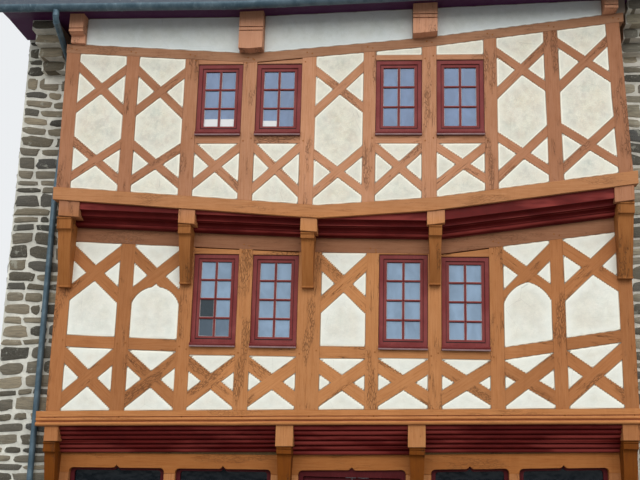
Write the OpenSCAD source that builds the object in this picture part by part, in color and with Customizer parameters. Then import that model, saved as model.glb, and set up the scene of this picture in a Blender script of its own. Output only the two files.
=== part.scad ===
// Half timbered town house: stone gable walls, a shop front below and two
// jettied timber storeys above, with crossed braces and lime plaster panels.
// Millimetres. X runs along the front, the front faces -Y, Z is up from the ground.

/* [House body] */
// Half of the clear width between the two stone gable walls
half_width = 4100; // [3700:10:4500]
// Thickness of each stone gable wall
gable_thickness = 900; // [500:10:1000]
// Depth from the ground floor front to the back of the rear wall
house_depth = 7000; // [5500:50:9000]
// Thickness of the rear stone wall
rear_thickness = 600; // [450:10:750]
// How far each upper storey stands out over the one below
jetty_depth = 370; // [200:5:450]

/* [Ground floor front] */
// Height of the stone plinth that carries the shop posts
plinth_height = 560; // [400:10:800]
// Depth of the stone plinth from front to back
plinth_depth = 340; // [280:10:420]
// Depth of the ground floor posts and beam
ground_timber_depth = 220; // [160:10:280]
// Head of the shop windows at the left end
ground_head_left = 2052; // [1950:1:2200]
// Head of the shop windows at the middle
ground_head_middle = 2104; // [1950:1:2250]
// Head of the shop windows at the right end
ground_head_right = 2246; // [2000:1:2400]
// Height of the beam above the window heads
ground_beam_height = 205; // [150:5:300]
// Radius of the rounded upper corners of the shop windows
head_corner_radius = 55; // [20:1:90]
// Height of the small pointed nib in the middle of each head
nib_height = 42; // [15:1:60]

/* [First floor] */
// Top of the moulded sill beam at the middle of the front
first_sill_top = 2918; // [2850:1:3000]
// Height of the moulded sill beam
first_sill_height = 205; // [150:5:260]
// Rise of the sill beam over each metre towards the right
sill_rise = 24.7; // [0:0.1:40]
// Underside of the top plate at the left end
first_plate_left = 5272; // [5150:1:5400]
// Underside of the top plate where the left length begins to level out
first_plate_mid = 5133; // [5050:1:5250]
// Underside of the top plate at the scarf between its two lengths
first_plate_scarf = 5118; // [5050:1:5250]
// Underside of the top plate at the right end
first_plate_right = 5490; // [5350:1:5600]
// Height of the top plate
first_plate_height = 208; // [150:1:240]
// Width of the crossed braces of this storey
first_brace_width = 168; // [110:1:200]

/* [Second floor] */
// Top of the sill beam at the left end
second_sill_left = 5984; // [5900:1:6100]
// Top of the sill beam at its lowest point
second_sill_low = 5726; // [5650:1:5800]
// Top of the sill beam at the scarf right of the middle
second_sill_scarf = 5843; // [5750:1:5950]
// Top of the sill beam at the right end
second_sill_right = 6238; // [6100:1:6350]
// Height of the sill beam
second_sill_height = 186; // [150:1:230]
// Underside of the top plate at the left end
second_plate_left = 8062; // [7950:1:8150]
// Underside of the top plate at its lowest point
second_plate_low = 7885; // [7800:1:7950]
// Underside of the top plate right of the middle
second_plate_scarf = 8112; // [8000:1:8200]
// Underside of the top plate at the right end
second_plate_right = 8480; // [8350:1:8550]
// Height of the top plate
second_plate_height = 140; // [110:1:180]
// Width of the crossed braces of this storey
second_brace_width = 114; // [90:1:160]

/* [Timber wall] */
// Depth of posts, rails, sills and plates from front to back
timber_depth = 180; // [140:5:220]
// Depth of the crossed braces, let into the panels
brace_depth = 95; // [70:5:120]
// How far the plaster lies behind the timber face
plaster_setback = 12; // [4:1:25]
// Thickness of a plaster panel at its thickest
panel_thickness = 140; // [110:5:160]

/* [Windows] */
// Underside of the window sills on the first floor
first_window_sill = 3755; // [3700:1:3850]
// Top of the window frames on the first floor
first_window_top = 5092; // [5020:1:5095]
// Underside of the window sills on the second floor
second_window_sill = 6755; // [6650:1:6850]
// Top of the two left window frames on the second floor
second_window_top_left = 7862; // [7780:1:7870]
// Top of the two right window frames on the second floor
second_window_top_right = 7905; // [7800:1:7950]
// Width of the fixed frame all round a window
frame_width = 62; // [45:1:80]
// Width of the sash inside the fixed frame
sash_width = 46; // [35:1:60]
// Height of the projecting window sill
window_sill_height = 48; // [30:1:60]
// Height of the timber rail below a window
window_rail_height = 115; // [80:1:140]

/* [Doors] */
// Thickness of a door leaf
leaf_thickness = 50; // [40:1:60]
// Gap round a door leaf
leaf_gap = 7; // [6:1:12]
// Gap between the two leaves where they meet
meeting_gap = 10; // [8:1:16]
// Height of the door leaves
leaf_height = 1880; // [1800:5:1950]

/* [Gable heads] */
// Courses of stone that step out under the eaves at each gable
head_courses = 5; // [3:1:7]
// Height of each of these courses
head_course = 150; // [100:5:200]
// How far each course stands out past the one below
head_step = 170; // [80:5:200]
// Width of the courses along the street
head_width = 600; // [450:10:900]
// How far the top course stays behind the second floor
head_setback = 40; // [20:5:200]

/* [Roof] */
// Height of the soffit edge behind the gutter, along the level left length
eaves_height = 8590; // [8500:5:8700]
// Rise of the eaves over each metre along the right length
eaves_rise = 38.5; // [0:0.5:50]
// Overhang of the eaves in front of the second floor
eaves_overhang = 380; // [250:5:500]
// Pitch of the main roof slope in degrees
roof_pitch = 49; // [40:1:60]
// Pitch of the flatter foot of the roof in degrees
foot_pitch = 32; // [24:1:40]
// Thickness of boards and slates together
roof_thickness = 120; // [80:5:160]
// Overhang of the roof past each gable wall
verge_overhang = 60; // [0:5:200]

/* [Hidden] */

timber = "#b07046";
plaster = "#ddd8cc";
dark_red = "#571a22";
stone = "#7d7668";
slate = "#5b6670";
zinc = "#75808a";
pane = "#8fa3b5";

// The three wall faces, each storey standing out over the one below
ground_face = -house_depth / 2;
first_face = ground_face - jetty_depth;
second_face = first_face - jetty_depth;
rear_face = house_depth / 2;
inner_rear = rear_face - rear_thickness;

sill_tilt = atan(sill_rise / 1000);

// Heights along the front as [x, z] knots, because the old beams run out of level
first_sill_top_line = [[-4300, first_sill_top - 4.3 * sill_rise],
  [4300, first_sill_top + 4.3 * sill_rise]];
first_sill_low_line = lowered(first_sill_top_line, first_sill_height);
ground_head_line = [[-4300, ground_head_left - 2.5], [0, ground_head_middle],
  [4300, ground_head_right + 7]];
ground_beam_top_line = raised(ground_head_line, ground_beam_height);
first_plate_low_line = [[-4300, first_plate_left + 7], [-400, first_plate_mid],
  [1400, first_plate_scarf], [4300, first_plate_right + 27]];
first_plate_top_line = raised(first_plate_low_line, first_plate_height);
first_rail_line = [[-4300, 3906], [-250, 3787], [2280, 3808], [4300, 4148]];
second_sill_top_line = [[-4300, second_sill_left + 14], [-300, second_sill_low],
  [1300, second_sill_scarf], [4300, second_sill_right + 28]];
second_sill_low_line = lowered(second_sill_top_line, second_sill_height);
second_plate_low_line = [[-4300, second_plate_left + 13], [-1350, second_plate_low],
  [1250, second_plate_scarf], [4300, second_plate_right + 26]];
second_plate_top_line = raised(second_plate_low_line, second_plate_height);
first_rail_height = 165;

// The eaves run level from the left up to a knot, then climb with the old wall plates
eaves_knot = -1500;
eaves_tilt = atan(eaves_rise / 1000);
soffit_in = 22;
soffit_line = climbing(eaves_height + soffit_in);
attic_low_line = climbing(eaves_height - 130);

// Post centres, widths and the lean of each post over its storey
first_post_x = [-3997, -3088, -2196, -1350, -423, 467, 1338, 2195, 3055, 3975];
first_post_w = [205, 205, 190, 200, 326, 180, 186, 190, 180, 190];
first_post_lean = [0, 10, 0, 0, 0, 0, 0, 0, -25, -25];
second_post_x = [-3997, -3103, -2212, -1350, -483, 398, 1252, 2121, 3008, 3955];
second_post_w = [205, 190, 200, 203, 204, 178, 206, 182, 196, 195];
second_post_lean = [-15, 0, 0, 0, 0, 0, 0, 0, -30, -95];
crossed_bays = [0, 1, 4, 7, 8];
window_bays = [2, 3, 5, 6];
cusped_bay = 1;
pointed_bay = 7;

// Window heads that differ from the rest of the first floor, bay by bay
first_head_shift = [0, 0, 3, -4, 0, 18, -8];
// Rail over a second floor window, and the open joint over the rails that reach the plate
second_head_rail = 78;
joint_height = 15;
joint_depth = 60;
first_joint_bays = [2, 3, 6];
second_joint_bays = [3];

// Crossed braces, measured to their centre lines at the posts: under the rail, over the
// sill, then the upper and the lower ends under the plate
first_cross = [115, 148, 146, 756];
second_cross = [52, 176, 220, 850];
// Height of the low crosses of the second floor as a share of the storey
second_low_share = 0.28;
// Tip of the arched cuts under the plate
arch_drop = 552;

// Ground floor: main posts as [left, right], then the slim posts between shop windows
main_posts = [[-4100, -3820], [-930, -545], [950, 1300], [3710, 4100]];
slim_posts = [[-2450, -2290], [2365, 2505]];
shop_bays = [[-3820, -2450], [-2290, -930], [1300, 2365], [2505, 3710]];
door_bay = [-545, 950];
main_post_centres = [-3985, -715, 1100, 3975];
shop_sill_z = plinth_height + 90;
spandrel_drop = 70;
threshold_z = 120;

// Joist ends as [left, right, height] under each sill, no two cut alike
first_joists = [[-4103, -3903, 210], [-840, -598, 288], [974, 1215, 304], [3842, 4085, 218]];
second_joists = [[-4042, -3740, 230], [-2291, -2052, 209], [-547, -312, 193],
  [1221, 1469, 193], [3790, 4059, 217]];
joist_end_setback = 18;
// Consoles as [centre, width, height of the cap, height of the foot above the ground]
first_consoles = [[-4028, 170, 141, 1544], [-722, 206, 96, 1609], [1102, 210, 96, 1636],
  [3952, 200, 110, 1692]];
second_consoles = [[-3958, 206, 174, 4572], [-2202, 180, 136, 4636], [-446, 192, 90, 4601],
  [1340, 180, 150, 4662], [3948, 226, 159, 4777]];
console_reach = 322;
foot_reach = 88;

// Rear windows: centres, width, sill and head heights of each storey
rear_window_x = [-2450, 0, 2450];
rear_window_w = 700;
rear_levels = [[950, 2150], [3800, 5080], [6760, 7900]];

jetty_half = half_width - 60;
eaves_y = second_face - eaves_overhang;
rear_eaves_y = rear_face + 360;
roof_end = half_width + gable_thickness + verge_overhang;
pipe_r = 44;
pipe_stand = 75;
shoe_z = 30;
gutter_r = 80;
// Sliver left where a tilted piece sits on another, so that the two never cut together
seat = 0.03;
roof_seat = 0.2;

function raised(line, d) = [for (p = line) [p[0], p[1] + d]];
function lowered(line, d) = raised(line, -d);
function at(line, x) = lookup(x, line);
function eaves_lift(x) = max(0, x - eaves_knot) * eaves_rise / 1000;
function climbing(z) = [[-4300, z], [eaves_knot, z], [4300, z + eaves_lift(4300)]];
// Height kept to a tenth of a millimetre, so that every climbing face stays flat
function tenth(z) = round(z * 10) / 10;
function backwards(list) = [for (i = [len(list) - 1 : -1 : 0]) list[i]];
// Outline between two lines
function band(low, high) = concat(low, backwards(high));

// Stands a flat outline up on a wall face, with its depth running inwards
module upright(face_y, depth)
  translate([0, face_y + depth, 0]) rotate([90, 0, 0]) linear_extrude(depth) children();

// Runs a cross-section drawn in Y and Z along X
module along_x(x0, x1)
  translate([x0, 0, 0]) rotate([90, 0, 90]) linear_extrude(x1 - x0) children();

function sum(list) = list * [for (i = list) 1];
// Outline that runs anticlockwise, whichever way it was written
function anticlockwise(p) = let (n = len(p))
  sum([for (i = [0 : n - 1]) let (q = p[(i + 1) % n]) p[i][0] * q[1] - q[0] * p[i][1]]) > 0
  ? p : backwards(p);

// Runs a cross-section, drawn in Y and height over the eaves, from x0 to x1. Past the knot
// it climbs with the eaves and stays upright. The ends of a paired outline, which goes out
// along one line and back along another with as many points, are closed pair by pair.
module eaves_run(x0, x1, outline, paired = false) {
  p = anticlockwise(outline);
  xs = x0 < eaves_knot && x1 > eaves_knot ? [x0, eaves_knot, x1] : [x0, x1];
  n = len(p);
  last = len(xs) - 1;
  ends = paired ? [for (i = [0 : n / 2 - 2]) [i, i + 1, n - 2 - i, n - 1 - i]] : [[for (i = [0 : n - 1]) i]];
  polyhedron(
    [for (x = xs) for (q = p) [x, q[0], eaves_height + tenth(eaves_lift(x)) + tenth(q[1])]],
    concat(ends,
      [for (k = [0 : last - 1]) for (i = [0 : n - 1]) let (j = (i + 1) % n)
        [k * n + i, (k + 1) * n + i, (k + 1) * n + j, k * n + j]],
      [for (face = ends) [for (i = backwards(face)) last * n + i]]));
}

module span(x0, x1, low, high)
  intersection() {
    polygon(band(low, high));
    translate([x0, 0]) square([x1 - x0, 10000]);
  }

// Flat strip of width w from p to q, run on past both ends
function strip(p, q, w) =
  let (d = q - p, u = d / norm(d), s = [-u[1], u[0]] * w / 2, e = u * w)
  [p - e - s, q + e - s, q + e + s, p - e + s];

// Edges of a post: side is -1 for its left edge and 1 for its right edge
function edge(xs, ws, i, side) = xs[i] + side * ws[i] / 2;

module post_shapes(xs, ws, lean, low, high)
  intersection() {
    polygon(band(low, high));
    for (i = [0 : len(xs) - 1])
      let (l = edge(xs, ws, i, -1), r = edge(xs, ws, i, 1),
        z0 = at(low, xs[i]), z1 = at(high, xs[i]), t = lean[i] / (z1 - z0))
      polygon([[l - 300 * t, z0 - 300], [r - 300 * t, z0 - 300],
        [r + (z1 - z0 + 300) * t, z1 + 300], [l + (z1 - z0 + 300) * t, z1 + 300]]);
  }

// One pair of crossed braces between two posts
module cross(xl, xr, top_l, top_r, low_l, low_r, w) {
  polygon(strip([xl, top_l], [xr, low_r], w));
  polygon(strip([xl, low_l], [xr, top_r], w));
}

// First floor, flat shapes

module first_posts_2d()
  post_shapes(first_post_x, first_post_w, first_post_lean, first_sill_top_line, first_plate_low_line);

module first_field_2d()
  difference() {
    span(first_post_x[0], first_post_x[9], first_sill_top_line, first_plate_low_line);
    first_posts_2d();
  }

function first_head(i) = first_window_top + first_head_shift[i];

module first_openings_2d()
  for (i = window_bays)
    let (l = edge(first_post_x, first_post_w, i, 1), r = edge(first_post_x, first_post_w, i + 1, -1))
    translate([l - 20, first_window_sill]) square([r - l + 40, first_head(i) - first_window_sill]);

module first_rails_2d()
  intersection() {
    first_field_2d();
    union() {
      for (i = window_bays)
        let (l = first_post_x[i], r = first_post_x[i + 1]) {
          translate([l, first_window_sill - window_rail_height]) square([r - l, window_rail_height]);
          translate([l, first_head(i)]) square([r - l, 400]);
        }
      for (i = crossed_bays)
        span(first_post_x[i], first_post_x[i + 1],
          lowered(first_rail_line, first_rail_height), first_rail_line);
    }
  }

// Arched cuts, drawn down from their tips: a round head with a small cusp, and a pointed head
module cusped_arch() {
  translate([0, -420]) circle(r = 365, $fn = 72);
  difference() {
    translate([-85, -120]) square([170, 140]);
    for (side = [-1, 1]) translate([side * 100, 41]) circle(r = 108, $fn = 48);
  }
}

module pointed_arch()
  intersection() {
    translate([-109, -457]) circle(r = 470, $fn = 72);
    translate([109, -457]) circle(r = 470, $fn = 72);
  }

module first_braces_2d()
  difference() {
    intersection() {
      first_field_2d();
      for (i = [0 : 8])
        let (l = edge(first_post_x, first_post_w, i, 1), r = edge(first_post_x, first_post_w, i + 1, -1)) {
          low_rail = len(search(i, window_bays)) > 0
            ? [for (x = [-4300, 4300]) [x, first_window_sill - window_rail_height]]
            : lowered(first_rail_line, first_rail_height);
          intersection() {
            span(l - 60, r + 60, first_sill_top_line, low_rail);
            cross(l, r, at(low_rail, l) - first_cross[0], at(low_rail, r) - first_cross[0],
              at(first_sill_top_line, l) + first_cross[1], at(first_sill_top_line, r) + first_cross[1],
              first_brace_width);
          }
          if (len(search(i, crossed_bays)) > 0)
            difference() {
              let (high_l = at(first_plate_low_line, l), high_r = at(first_plate_low_line, r))
                cross(l, r, high_l - first_cross[2], high_r - first_cross[2],
                  high_l - first_cross[3], high_r - first_cross[3], first_brace_width);
              translate([(l + r) / 2, at(first_plate_low_line, (l + r) / 2) - arch_drop]) {
                if (i == cusped_bay) cusped_arch();
                if (i == pointed_bay) pointed_arch();
              }
            }
        }
    }
    first_rails_2d();
  }

// Second floor, flat shapes

module second_posts_2d()
  post_shapes(second_post_x, second_post_w, second_post_lean, second_sill_top_line, second_plate_low_line);

module second_field_2d()
  difference() {
    span(second_post_x[0], second_post_x[9] - 60, second_sill_top_line, second_plate_low_line);
    second_posts_2d();
  }

function second_window_top(i) = i < 4 ? second_window_top_left : second_window_top_right;

module second_openings_2d()
  for (i = window_bays)
    let (l = edge(second_post_x, second_post_w, i, 1), r = edge(second_post_x, second_post_w, i + 1, -1))
    translate([l - 20, second_window_sill])
      square([r - l + 40, second_window_top(i) - second_window_sill]);

module second_rails_2d()
  intersection() {
    second_field_2d();
    for (i = window_bays)
      let (l = second_post_x[i], r = second_post_x[i + 1]) {
        translate([l, second_window_sill - window_rail_height]) square([r - l, window_rail_height]);
        translate([l, second_window_top(i)])
          square([r - l, len(search(i, second_joint_bays)) > 0 ? 200 : second_head_rail]);
      }
  }

// Open joint along the underside of a plate over the windows of some bays
module open_joint_2d(bays, xs, plate_line)
  for (i = bays) span(xs[i], xs[i + 1], lowered(plate_line, joint_height), raised(plate_line, 10));

// Rails of one storey, with the open joints let into their fronts
module rails(face_y) {
  upright(face_y, joint_depth) difference() { children(0); children(1); }
  upright(face_y + joint_depth, timber_depth - joint_depth) children(0);
}

module second_braces_2d()
  difference() {
    intersection() {
      second_field_2d();
      for (i = [0 : 8])
        let (l = edge(second_post_x, second_post_w, i, 1),
          r = edge(second_post_x, second_post_w, i + 1, -1) + (i == 8 ? -30 : 0),
          low_l = at(second_sill_top_line, l) + second_cross[1],
          low_r = at(second_sill_top_line, r) + second_cross[1]) {
          if (len(search(i, window_bays)) > 0) {
            rail_z = second_window_sill - window_rail_height;
            intersection() {
              translate([l - 60, 5000]) square([r - l + 120, rail_z - 5000]);
              cross(l, r, rail_z - second_cross[0], rail_z - second_cross[0], low_l, low_r,
                second_brace_width);
            }
          } else {
            high_l = at(second_plate_low_line, l);
            high_r = at(second_plate_low_line, r);
            cross(l, r, low_l + second_low_share * (high_l - low_l),
              low_r + second_low_share * (high_r - low_r), low_l, low_r, second_brace_width);
            cross(l, r, high_l - second_cross[2], high_r - second_cross[2],
              high_l - second_cross[3], high_r - second_cross[3], second_brace_width);
          }
        }
    }
    second_rails_2d();
  }

// Plaster panels of one storey: thick behind, cut back round the braces in front
module panels(face_y) {
  upright(face_y + brace_depth, panel_thickness - brace_depth) children(0);
  upright(face_y + plaster_setback, brace_depth - plaster_setback)
    difference() { children(0); children(1); }
}

// One window: fixed frame, sash, projecting sill
module window_frame(l, r, z0, z1, face_y) {
  w = r - l;
  zf = z0 + window_sill_height;
  f = frame_width;
  s = f + sash_width;
  upright(face_y + 22, 90) difference() {
    translate([l, zf]) square([w, z1 - zf]);
    translate([l + f, zf + f]) square([w - 2 * f, z1 - zf - 2 * f]);
  }
  upright(face_y + 38, 55) difference() {
    translate([l + f - 1, zf + f - 1]) square([w - 2 * f + 2, z1 - zf - 2 * f + 2]);
    translate([l + s, zf + s]) square([w - 2 * s, z1 - zf - 2 * s]);
  }
  along_x(l, r) polygon([[face_y - 42, z0], [face_y + 130, z0], [face_y + 130, zf],
    [face_y + 22, zf], [face_y - 30, zf - 10], [face_y - 42, zf - 22]]);
}

module window_glass(l, r, z0, z1, face_y) {
  s = frame_width + sash_width;
  zf = z0 + window_sill_height;
  upright(face_y + 62, 8) translate([l + s, zf + s]) square([r - l - 2 * s, z1 - zf - 2 * s]);
}

// Ground floor

module ground_floor() color(stone) {
  translate([-half_width, ground_face + plinth_depth, 0])
    cube([2 * half_width, inner_rear - ground_face - plinth_depth, 100]);
  translate([door_bay[0], ground_face - 45, 0])
    cube([door_bay[1] - door_bay[0], plinth_depth + 45, threshold_z]);
}

module front_plinth() color(stone)
  for (s = [[-half_width, door_bay[0]], [door_bay[1], half_width]])
    along_x(s[0], s[1]) polygon([[ground_face - 45, 0], [ground_face + plinth_depth, 0],
      [ground_face + plinth_depth, plinth_height], [ground_face - 15, plinth_height],
      [ground_face - 45, plinth_height - 30]]);

// Outline of an opening head with rounded corners and a pointed nib, inset by d
function head_points(l, r, d) =
  let (c = head_corner_radius - d / 2, m = (l + r) / 2, z = at(ground_head_line, m) - d,
    t = (at(ground_head_line, r) - at(ground_head_line, l)) / (r - l))
  concat([for (a = [0 : 15 : 90]) [r - d - c + c * cos(a), z + t * (r - m) - c + c * sin(a)]],
    [for (k = [0 : 4]) [m + 60 - 15 * k, z + nib_height * pow(k / 4, 2)]],
    [for (k = [1 : 4]) [m - 15 * k, z + nib_height * pow(1 - k / 4, 2)]],
    [for (a = [90 : 15 : 180]) [l + d + c + c * cos(a), z + t * (l - m) - c + c * sin(a)]]);

module opening_2d(l, r, z0, d = 0)
  polygon(concat([[l + d, z0 + d], [r - d, z0 + d]], head_points(l, r, d)));

module ground_posts() color(timber)
  upright(ground_face, ground_timber_depth)
    for (p = concat(main_posts, slim_posts))
      span(p[0], p[1], [[-4300, plinth_height], [4300, plinth_height]],
        lowered(ground_head_line, spandrel_drop));

module ground_beam() color(timber)
  upright(ground_face, ground_timber_depth) difference() {
    span(-half_width, half_width, lowered(ground_head_line, spandrel_drop), ground_beam_top_line);
    for (b = concat(shop_bays, [door_bay])) opening_2d(b[0], b[1], 500);
  }

// Pane of a shop window: the frame is broad at its sides and slim under the head
module shop_pane_2d(b) opening_2d(b[0] + 30, b[1] - 30, shop_sill_z + 30, 32);

module shop_window_frames() color(dark_red) {
  for (b = shop_bays) {
    upright(ground_face + 75, 80) difference() {
      opening_2d(b[0], b[1], shop_sill_z);
      shop_pane_2d(b);
    }
    translate([b[0], ground_face - 30, plinth_height])
      cube([b[1] - b[0], 250, shop_sill_z - plinth_height]);
  }
}

module shop_glass() color(pane)
  for (b = shop_bays)
    upright(ground_face + 110, 10) shop_pane_2d(b);

door_l = door_bay[0] + 70;
door_r = door_bay[1] - 70;
door_mid = (door_l + door_r) / 2;
door_top = threshold_z + leaf_gap + leaf_height + leaf_gap;
leaf_y = ground_face + 90;

module door_frame() color(dark_red)
  upright(ground_face + 40, 100) difference() {
    opening_2d(door_bay[0], door_bay[1], threshold_z);
    translate([door_l, 0]) square([door_r - door_l, door_top]);
  }

module door_leaf(l, r) {
  z0 = threshold_z + leaf_gap;
  difference() {
    translate([l, leaf_y, z0]) cube([r - l, leaf_thickness, leaf_height]);
    for (p = [[130, 640], [830, 1740]])
      translate([l + 105, leaf_y - 1, z0 + p[0]]) cube([r - l - 210, 17, p[1] - p[0]]);
  }
  for (p = [[130, 640], [830, 1740]])
    translate([l + 150, leaf_y + 4, z0 + p[0] + 45]) cube([r - l - 300, 20, p[1] - p[0] - 90]);
}

module left_door_leaf() color(dark_red) door_leaf(door_l + leaf_gap, door_mid - meeting_gap / 2);
module right_door_leaf() color(dark_red) door_leaf(door_mid + meeting_gap / 2, door_r - leaf_gap);

// Consoles, joist ends and mouldings under the jetties

// Side outline of a console, down from the joist it carries: a lip, the cap, a hollow,
// a long swelling body and a squared foot
function console_points(cap, length) = let (r = console_reach, body = r - 74) concat(
  [[0, 60], [14 - r, 60], [14 - r, -8], [-4 - r, -8], [-4 - r, -28], [12 - r, -38], [12 - r, -cap]],
  [for (a = [15 : 15 : 90]) [12 - r + 62 * sin(a), -cap - 52 * (1 - cos(a))]],
  [for (k = [1 : 10]) let (t = k / 10)
    [-(body - foot_reach) * (1 - t) * (1 + 0.55 * t) - foot_reach, -cap - 52 - (length - cap - 78) * t]],
  [[-foot_reach - 9, 26 - length], [-foot_reach - 9, -length], [0, -length]]);

// Right half of a console's front outline, down from the cap to the foot
function console_side(w, cap, length) = concat(
  [[w / 2, 60], [w / 2, -cap]],
  [for (k = [0 : 8]) let (t = k / 8) [w / 2 - 3 - 0.075 * w * t * (2 - t), -cap - (length - cap - 26) * t]],
  [[0.425 * w + 3, 26 - length], [0.425 * w + 3, -length]]);

function mirrored(points) = concat(points, backwards([for (p = points) [-p[0], p[1]]]));

module carved_consoles(list, joists, low_line, y)
  for (i = [0 : len(list) - 1])
    let (x = list[i][0], w = list[i][1], cap = list[i][2], h = joists[i][2],
      z = at(low_line, x) - h, length = z - list[i][3])
    intersection() {
      translate([0, 0, z]) along_x(x - w, x + w) translate([y, 0]) polygon(console_points(cap, length));
      upright(y - console_reach - 50, console_reach + 60) intersection() {
        translate([x, z]) polygon(mirrored(console_side(w, cap, length)));
        polygon(band([[-4300, 1000], [4300, 1000]], lowered(low_line, h + seat)));
      }
    }

module consoles() color(timber) {
  carved_consoles(first_consoles, first_joists, first_sill_low_line, ground_face);
  carved_consoles(second_consoles, second_joists, second_sill_low_line, first_face);
}

module joist_ends_2d(list, low_line)
  for (j = list) span(j[0], j[1], lowered(low_line, j[2]), low_line);

module joist_ends() color(timber) {
  upright(first_face + joist_end_setback, jetty_depth - joist_end_setback)
    joist_ends_2d(first_joists, first_sill_low_line);
  upright(second_face + joist_end_setback, jetty_depth - joist_end_setback)
    joist_ends_2d(second_joists, second_sill_low_line);
}

// Cross-section of the lower jetty's moulding: six rounds stepping back under the sill
function round_points(y_back, reach, height) =
  let (n = 6, rise = height / n, step = (reach - 50) / n)
  concat([[y_back, 0], [y_back, height], [y_back - reach, height]],
    [for (k = [0 : n - 1]) for (a = [-60 : 30 : 60])
      let (yc = y_back - reach + 25 + step * k, zc = height - rise * (k + 0.5))
      [yc - 0.52 * rise * cos(a) + 0.16 * rise + step * 0.5, zc - 0.5 * rise * sin(a) * 1.1]],
    [[y_back - 20, 0]]);

// Cross-section of the upper jetty's moulding: a roll, two hollows between fillets and a
// plain board that runs on up to the sill
function hollow_points(y_back, reach) = concat(
  [[y_back, 0], [y_back, 480], [y_back - reach, 480], [y_back - reach, 200]],
  [for (a = [0 : 18 : 90]) [y_back - reach + 16 + 70 * sin(a), 200 - 56 * (1 - cos(a))]],
  [[y_back - reach + 86, 128], [y_back - reach + 128, 128], [y_back - reach + 128, 114]],
  [for (a = [0 : 18 : 90]) [y_back - reach + 142 + 66 * sin(a), 114 - 42 * (1 - cos(a))]],
  [for (a = [-60 : 24 : 60]) [y_back - reach + 214 + 26 - 34 * cos(a), 36 - 28 * sin(a)]],
  [[y_back - 40, 6], [y_back - 40, 0]]);

// Runs a cross-section, drawn up from z 0, along X from x0 to x1 on a slanting line
module slanting_run(x0, x1, z0, z1) {
  tilt = atan((z1 - z0) / (x1 - x0));
  intersection() {
    translate([x0, 0, z0]) rotate([0, -tilt, 0])
      along_x(-60, (x1 - x0) / cos(tilt) + 60) children();
    translate([x0, -6000, 0]) cube([x1 - x0, 6000, 9000]);
  }
}

function console_gap(list, i) = [list[i][0] + list[i][1] / 2, list[i + 1][0] - list[i + 1][1] / 2];

module jetty_mouldings() color(dark_red) {
  difference() {
    for (i = [0 : 2])
      let (g = console_gap(first_consoles, i), low = ground_beam_top_line, high = first_sill_low_line,
        drop = min(at(high, g[0]) - at(low, g[0]), at(high, g[1]) - at(low, g[1])) - seat)
      slanting_run(g[0], g[1], at(high, g[0]) - drop - seat, at(high, g[1]) - drop - seat)
        polygon(round_points(ground_face - seat, jetty_depth - 30, (drop - 2 * seat) * cos(sill_tilt)));
    upright(first_face, jetty_depth) joist_ends_2d(first_joists, first_sill_low_line);
  }
  difference() {
    intersection() {
      for (i = [0 : 3])
        let (g = console_gap(second_consoles, i), low = first_plate_top_line)
        slanting_run(g[0], g[1], at(low, g[0]) + seat, at(low, g[1]) + seat)
          polygon(hollow_points(first_face - seat, jetty_depth - 50));
      upright(second_face, jetty_depth)
        polygon(band([[-4300, 5000], [4300, 5000]], lowered(second_sill_low_line, seat)));
    }
    upright(second_face, jetty_depth) joist_ends_2d(second_joists, second_sill_low_line);
  }
}

// Floors: boards and joists as one deck that follows the sagging beams

module first_floor_deck() color(timber)
  upright(ground_face, inner_rear - ground_face)
    span(-half_width, half_width, ground_beam_top_line, first_sill_low_line);

module second_floor_deck() color(timber) {
  upright(ground_face, inner_rear - ground_face)
    span(-half_width, half_width, first_plate_top_line, second_sill_low_line);
  upright(first_face, jetty_depth)
    span(-jetty_half, jetty_half, first_plate_top_line, second_sill_low_line);
}

// First floor front

module first_floor_sill() color(timber) {
  y = first_face;
  h = (first_sill_height - 2 * seat) * cos(sill_tilt);
  translate([0, 0, first_sill_top - seat]) rotate([0, -sill_tilt, 0])
    translate([0, 0, -h]) along_x(-4235, 4200)
      polygon([[y + timber_depth - seat, 0], [y + timber_depth - seat, h], [y - 6, h], [y - 6, h - 78],
        [y + 4, h - 84], [y + 4, h - 92], [y - 6, h - 98], [y - 8, h - 124], [y + 2, h - 132],
        [y + 14, h - 142], [y + 14, h - 152], [y - 6, h - 156], [y - 20, h - 162],
        [y - 26, h - 172], [y - 26, h - 186], [y - 20, h - 196], [y - 6, h - 203], [y - 6, 0]]);
}

module first_floor_posts() color(timber) upright(first_face, timber_depth) first_posts_2d();
module first_floor_rails() color(timber)
  rails(first_face) {
    first_rails_2d();
    open_joint_2d(first_joint_bays, first_post_x, first_plate_low_line);
  }

module first_floor_braces() color(timber) upright(first_face, brace_depth) first_braces_2d();

module first_floor_infill() color(plaster)
  panels(first_face) {
    difference() { first_field_2d(); first_rails_2d(); first_openings_2d(); }
    first_braces_2d();
  }

module first_floor_plate() color(timber)
  upright(first_face, timber_depth)
    span(-half_width, half_width, first_plate_low_line, first_plate_top_line);

module first_windows()
  for (i = window_bays) {
    $l = edge(first_post_x, first_post_w, i, 1);
    $r = edge(first_post_x, first_post_w, i + 1, -1);
    $top = first_head(i);
    children();
  }

module first_floor_window_frames() color(dark_red)
  first_windows() window_frame($l, $r, first_window_sill, $top, first_face);

module first_floor_glass() color(pane)
  first_windows() window_glass($l, $r, first_window_sill, $top, first_face);

// Second floor front

module second_floor_sill() color(timber)
  upright(second_face - 8, timber_depth + 8)
    span(-4135, 4115, second_sill_low_line, second_sill_top_line);

module second_floor_posts() color(timber) upright(second_face, timber_depth) second_posts_2d();
module second_floor_rails() color(timber)
  rails(second_face) {
    second_rails_2d();
    open_joint_2d(second_joint_bays, second_post_x, second_plate_low_line);
  }

module second_floor_braces() color(timber) upright(second_face, brace_depth) second_braces_2d();

module second_floor_infill() color(plaster)
  panels(second_face) {
    difference() { second_field_2d(); second_rails_2d(); second_openings_2d(); }
    second_braces_2d();
  }

module second_floor_plate() color(timber)
  upright(second_face, timber_depth)
    span(-4125, 4020, second_plate_low_line, second_plate_top_line);

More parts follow.
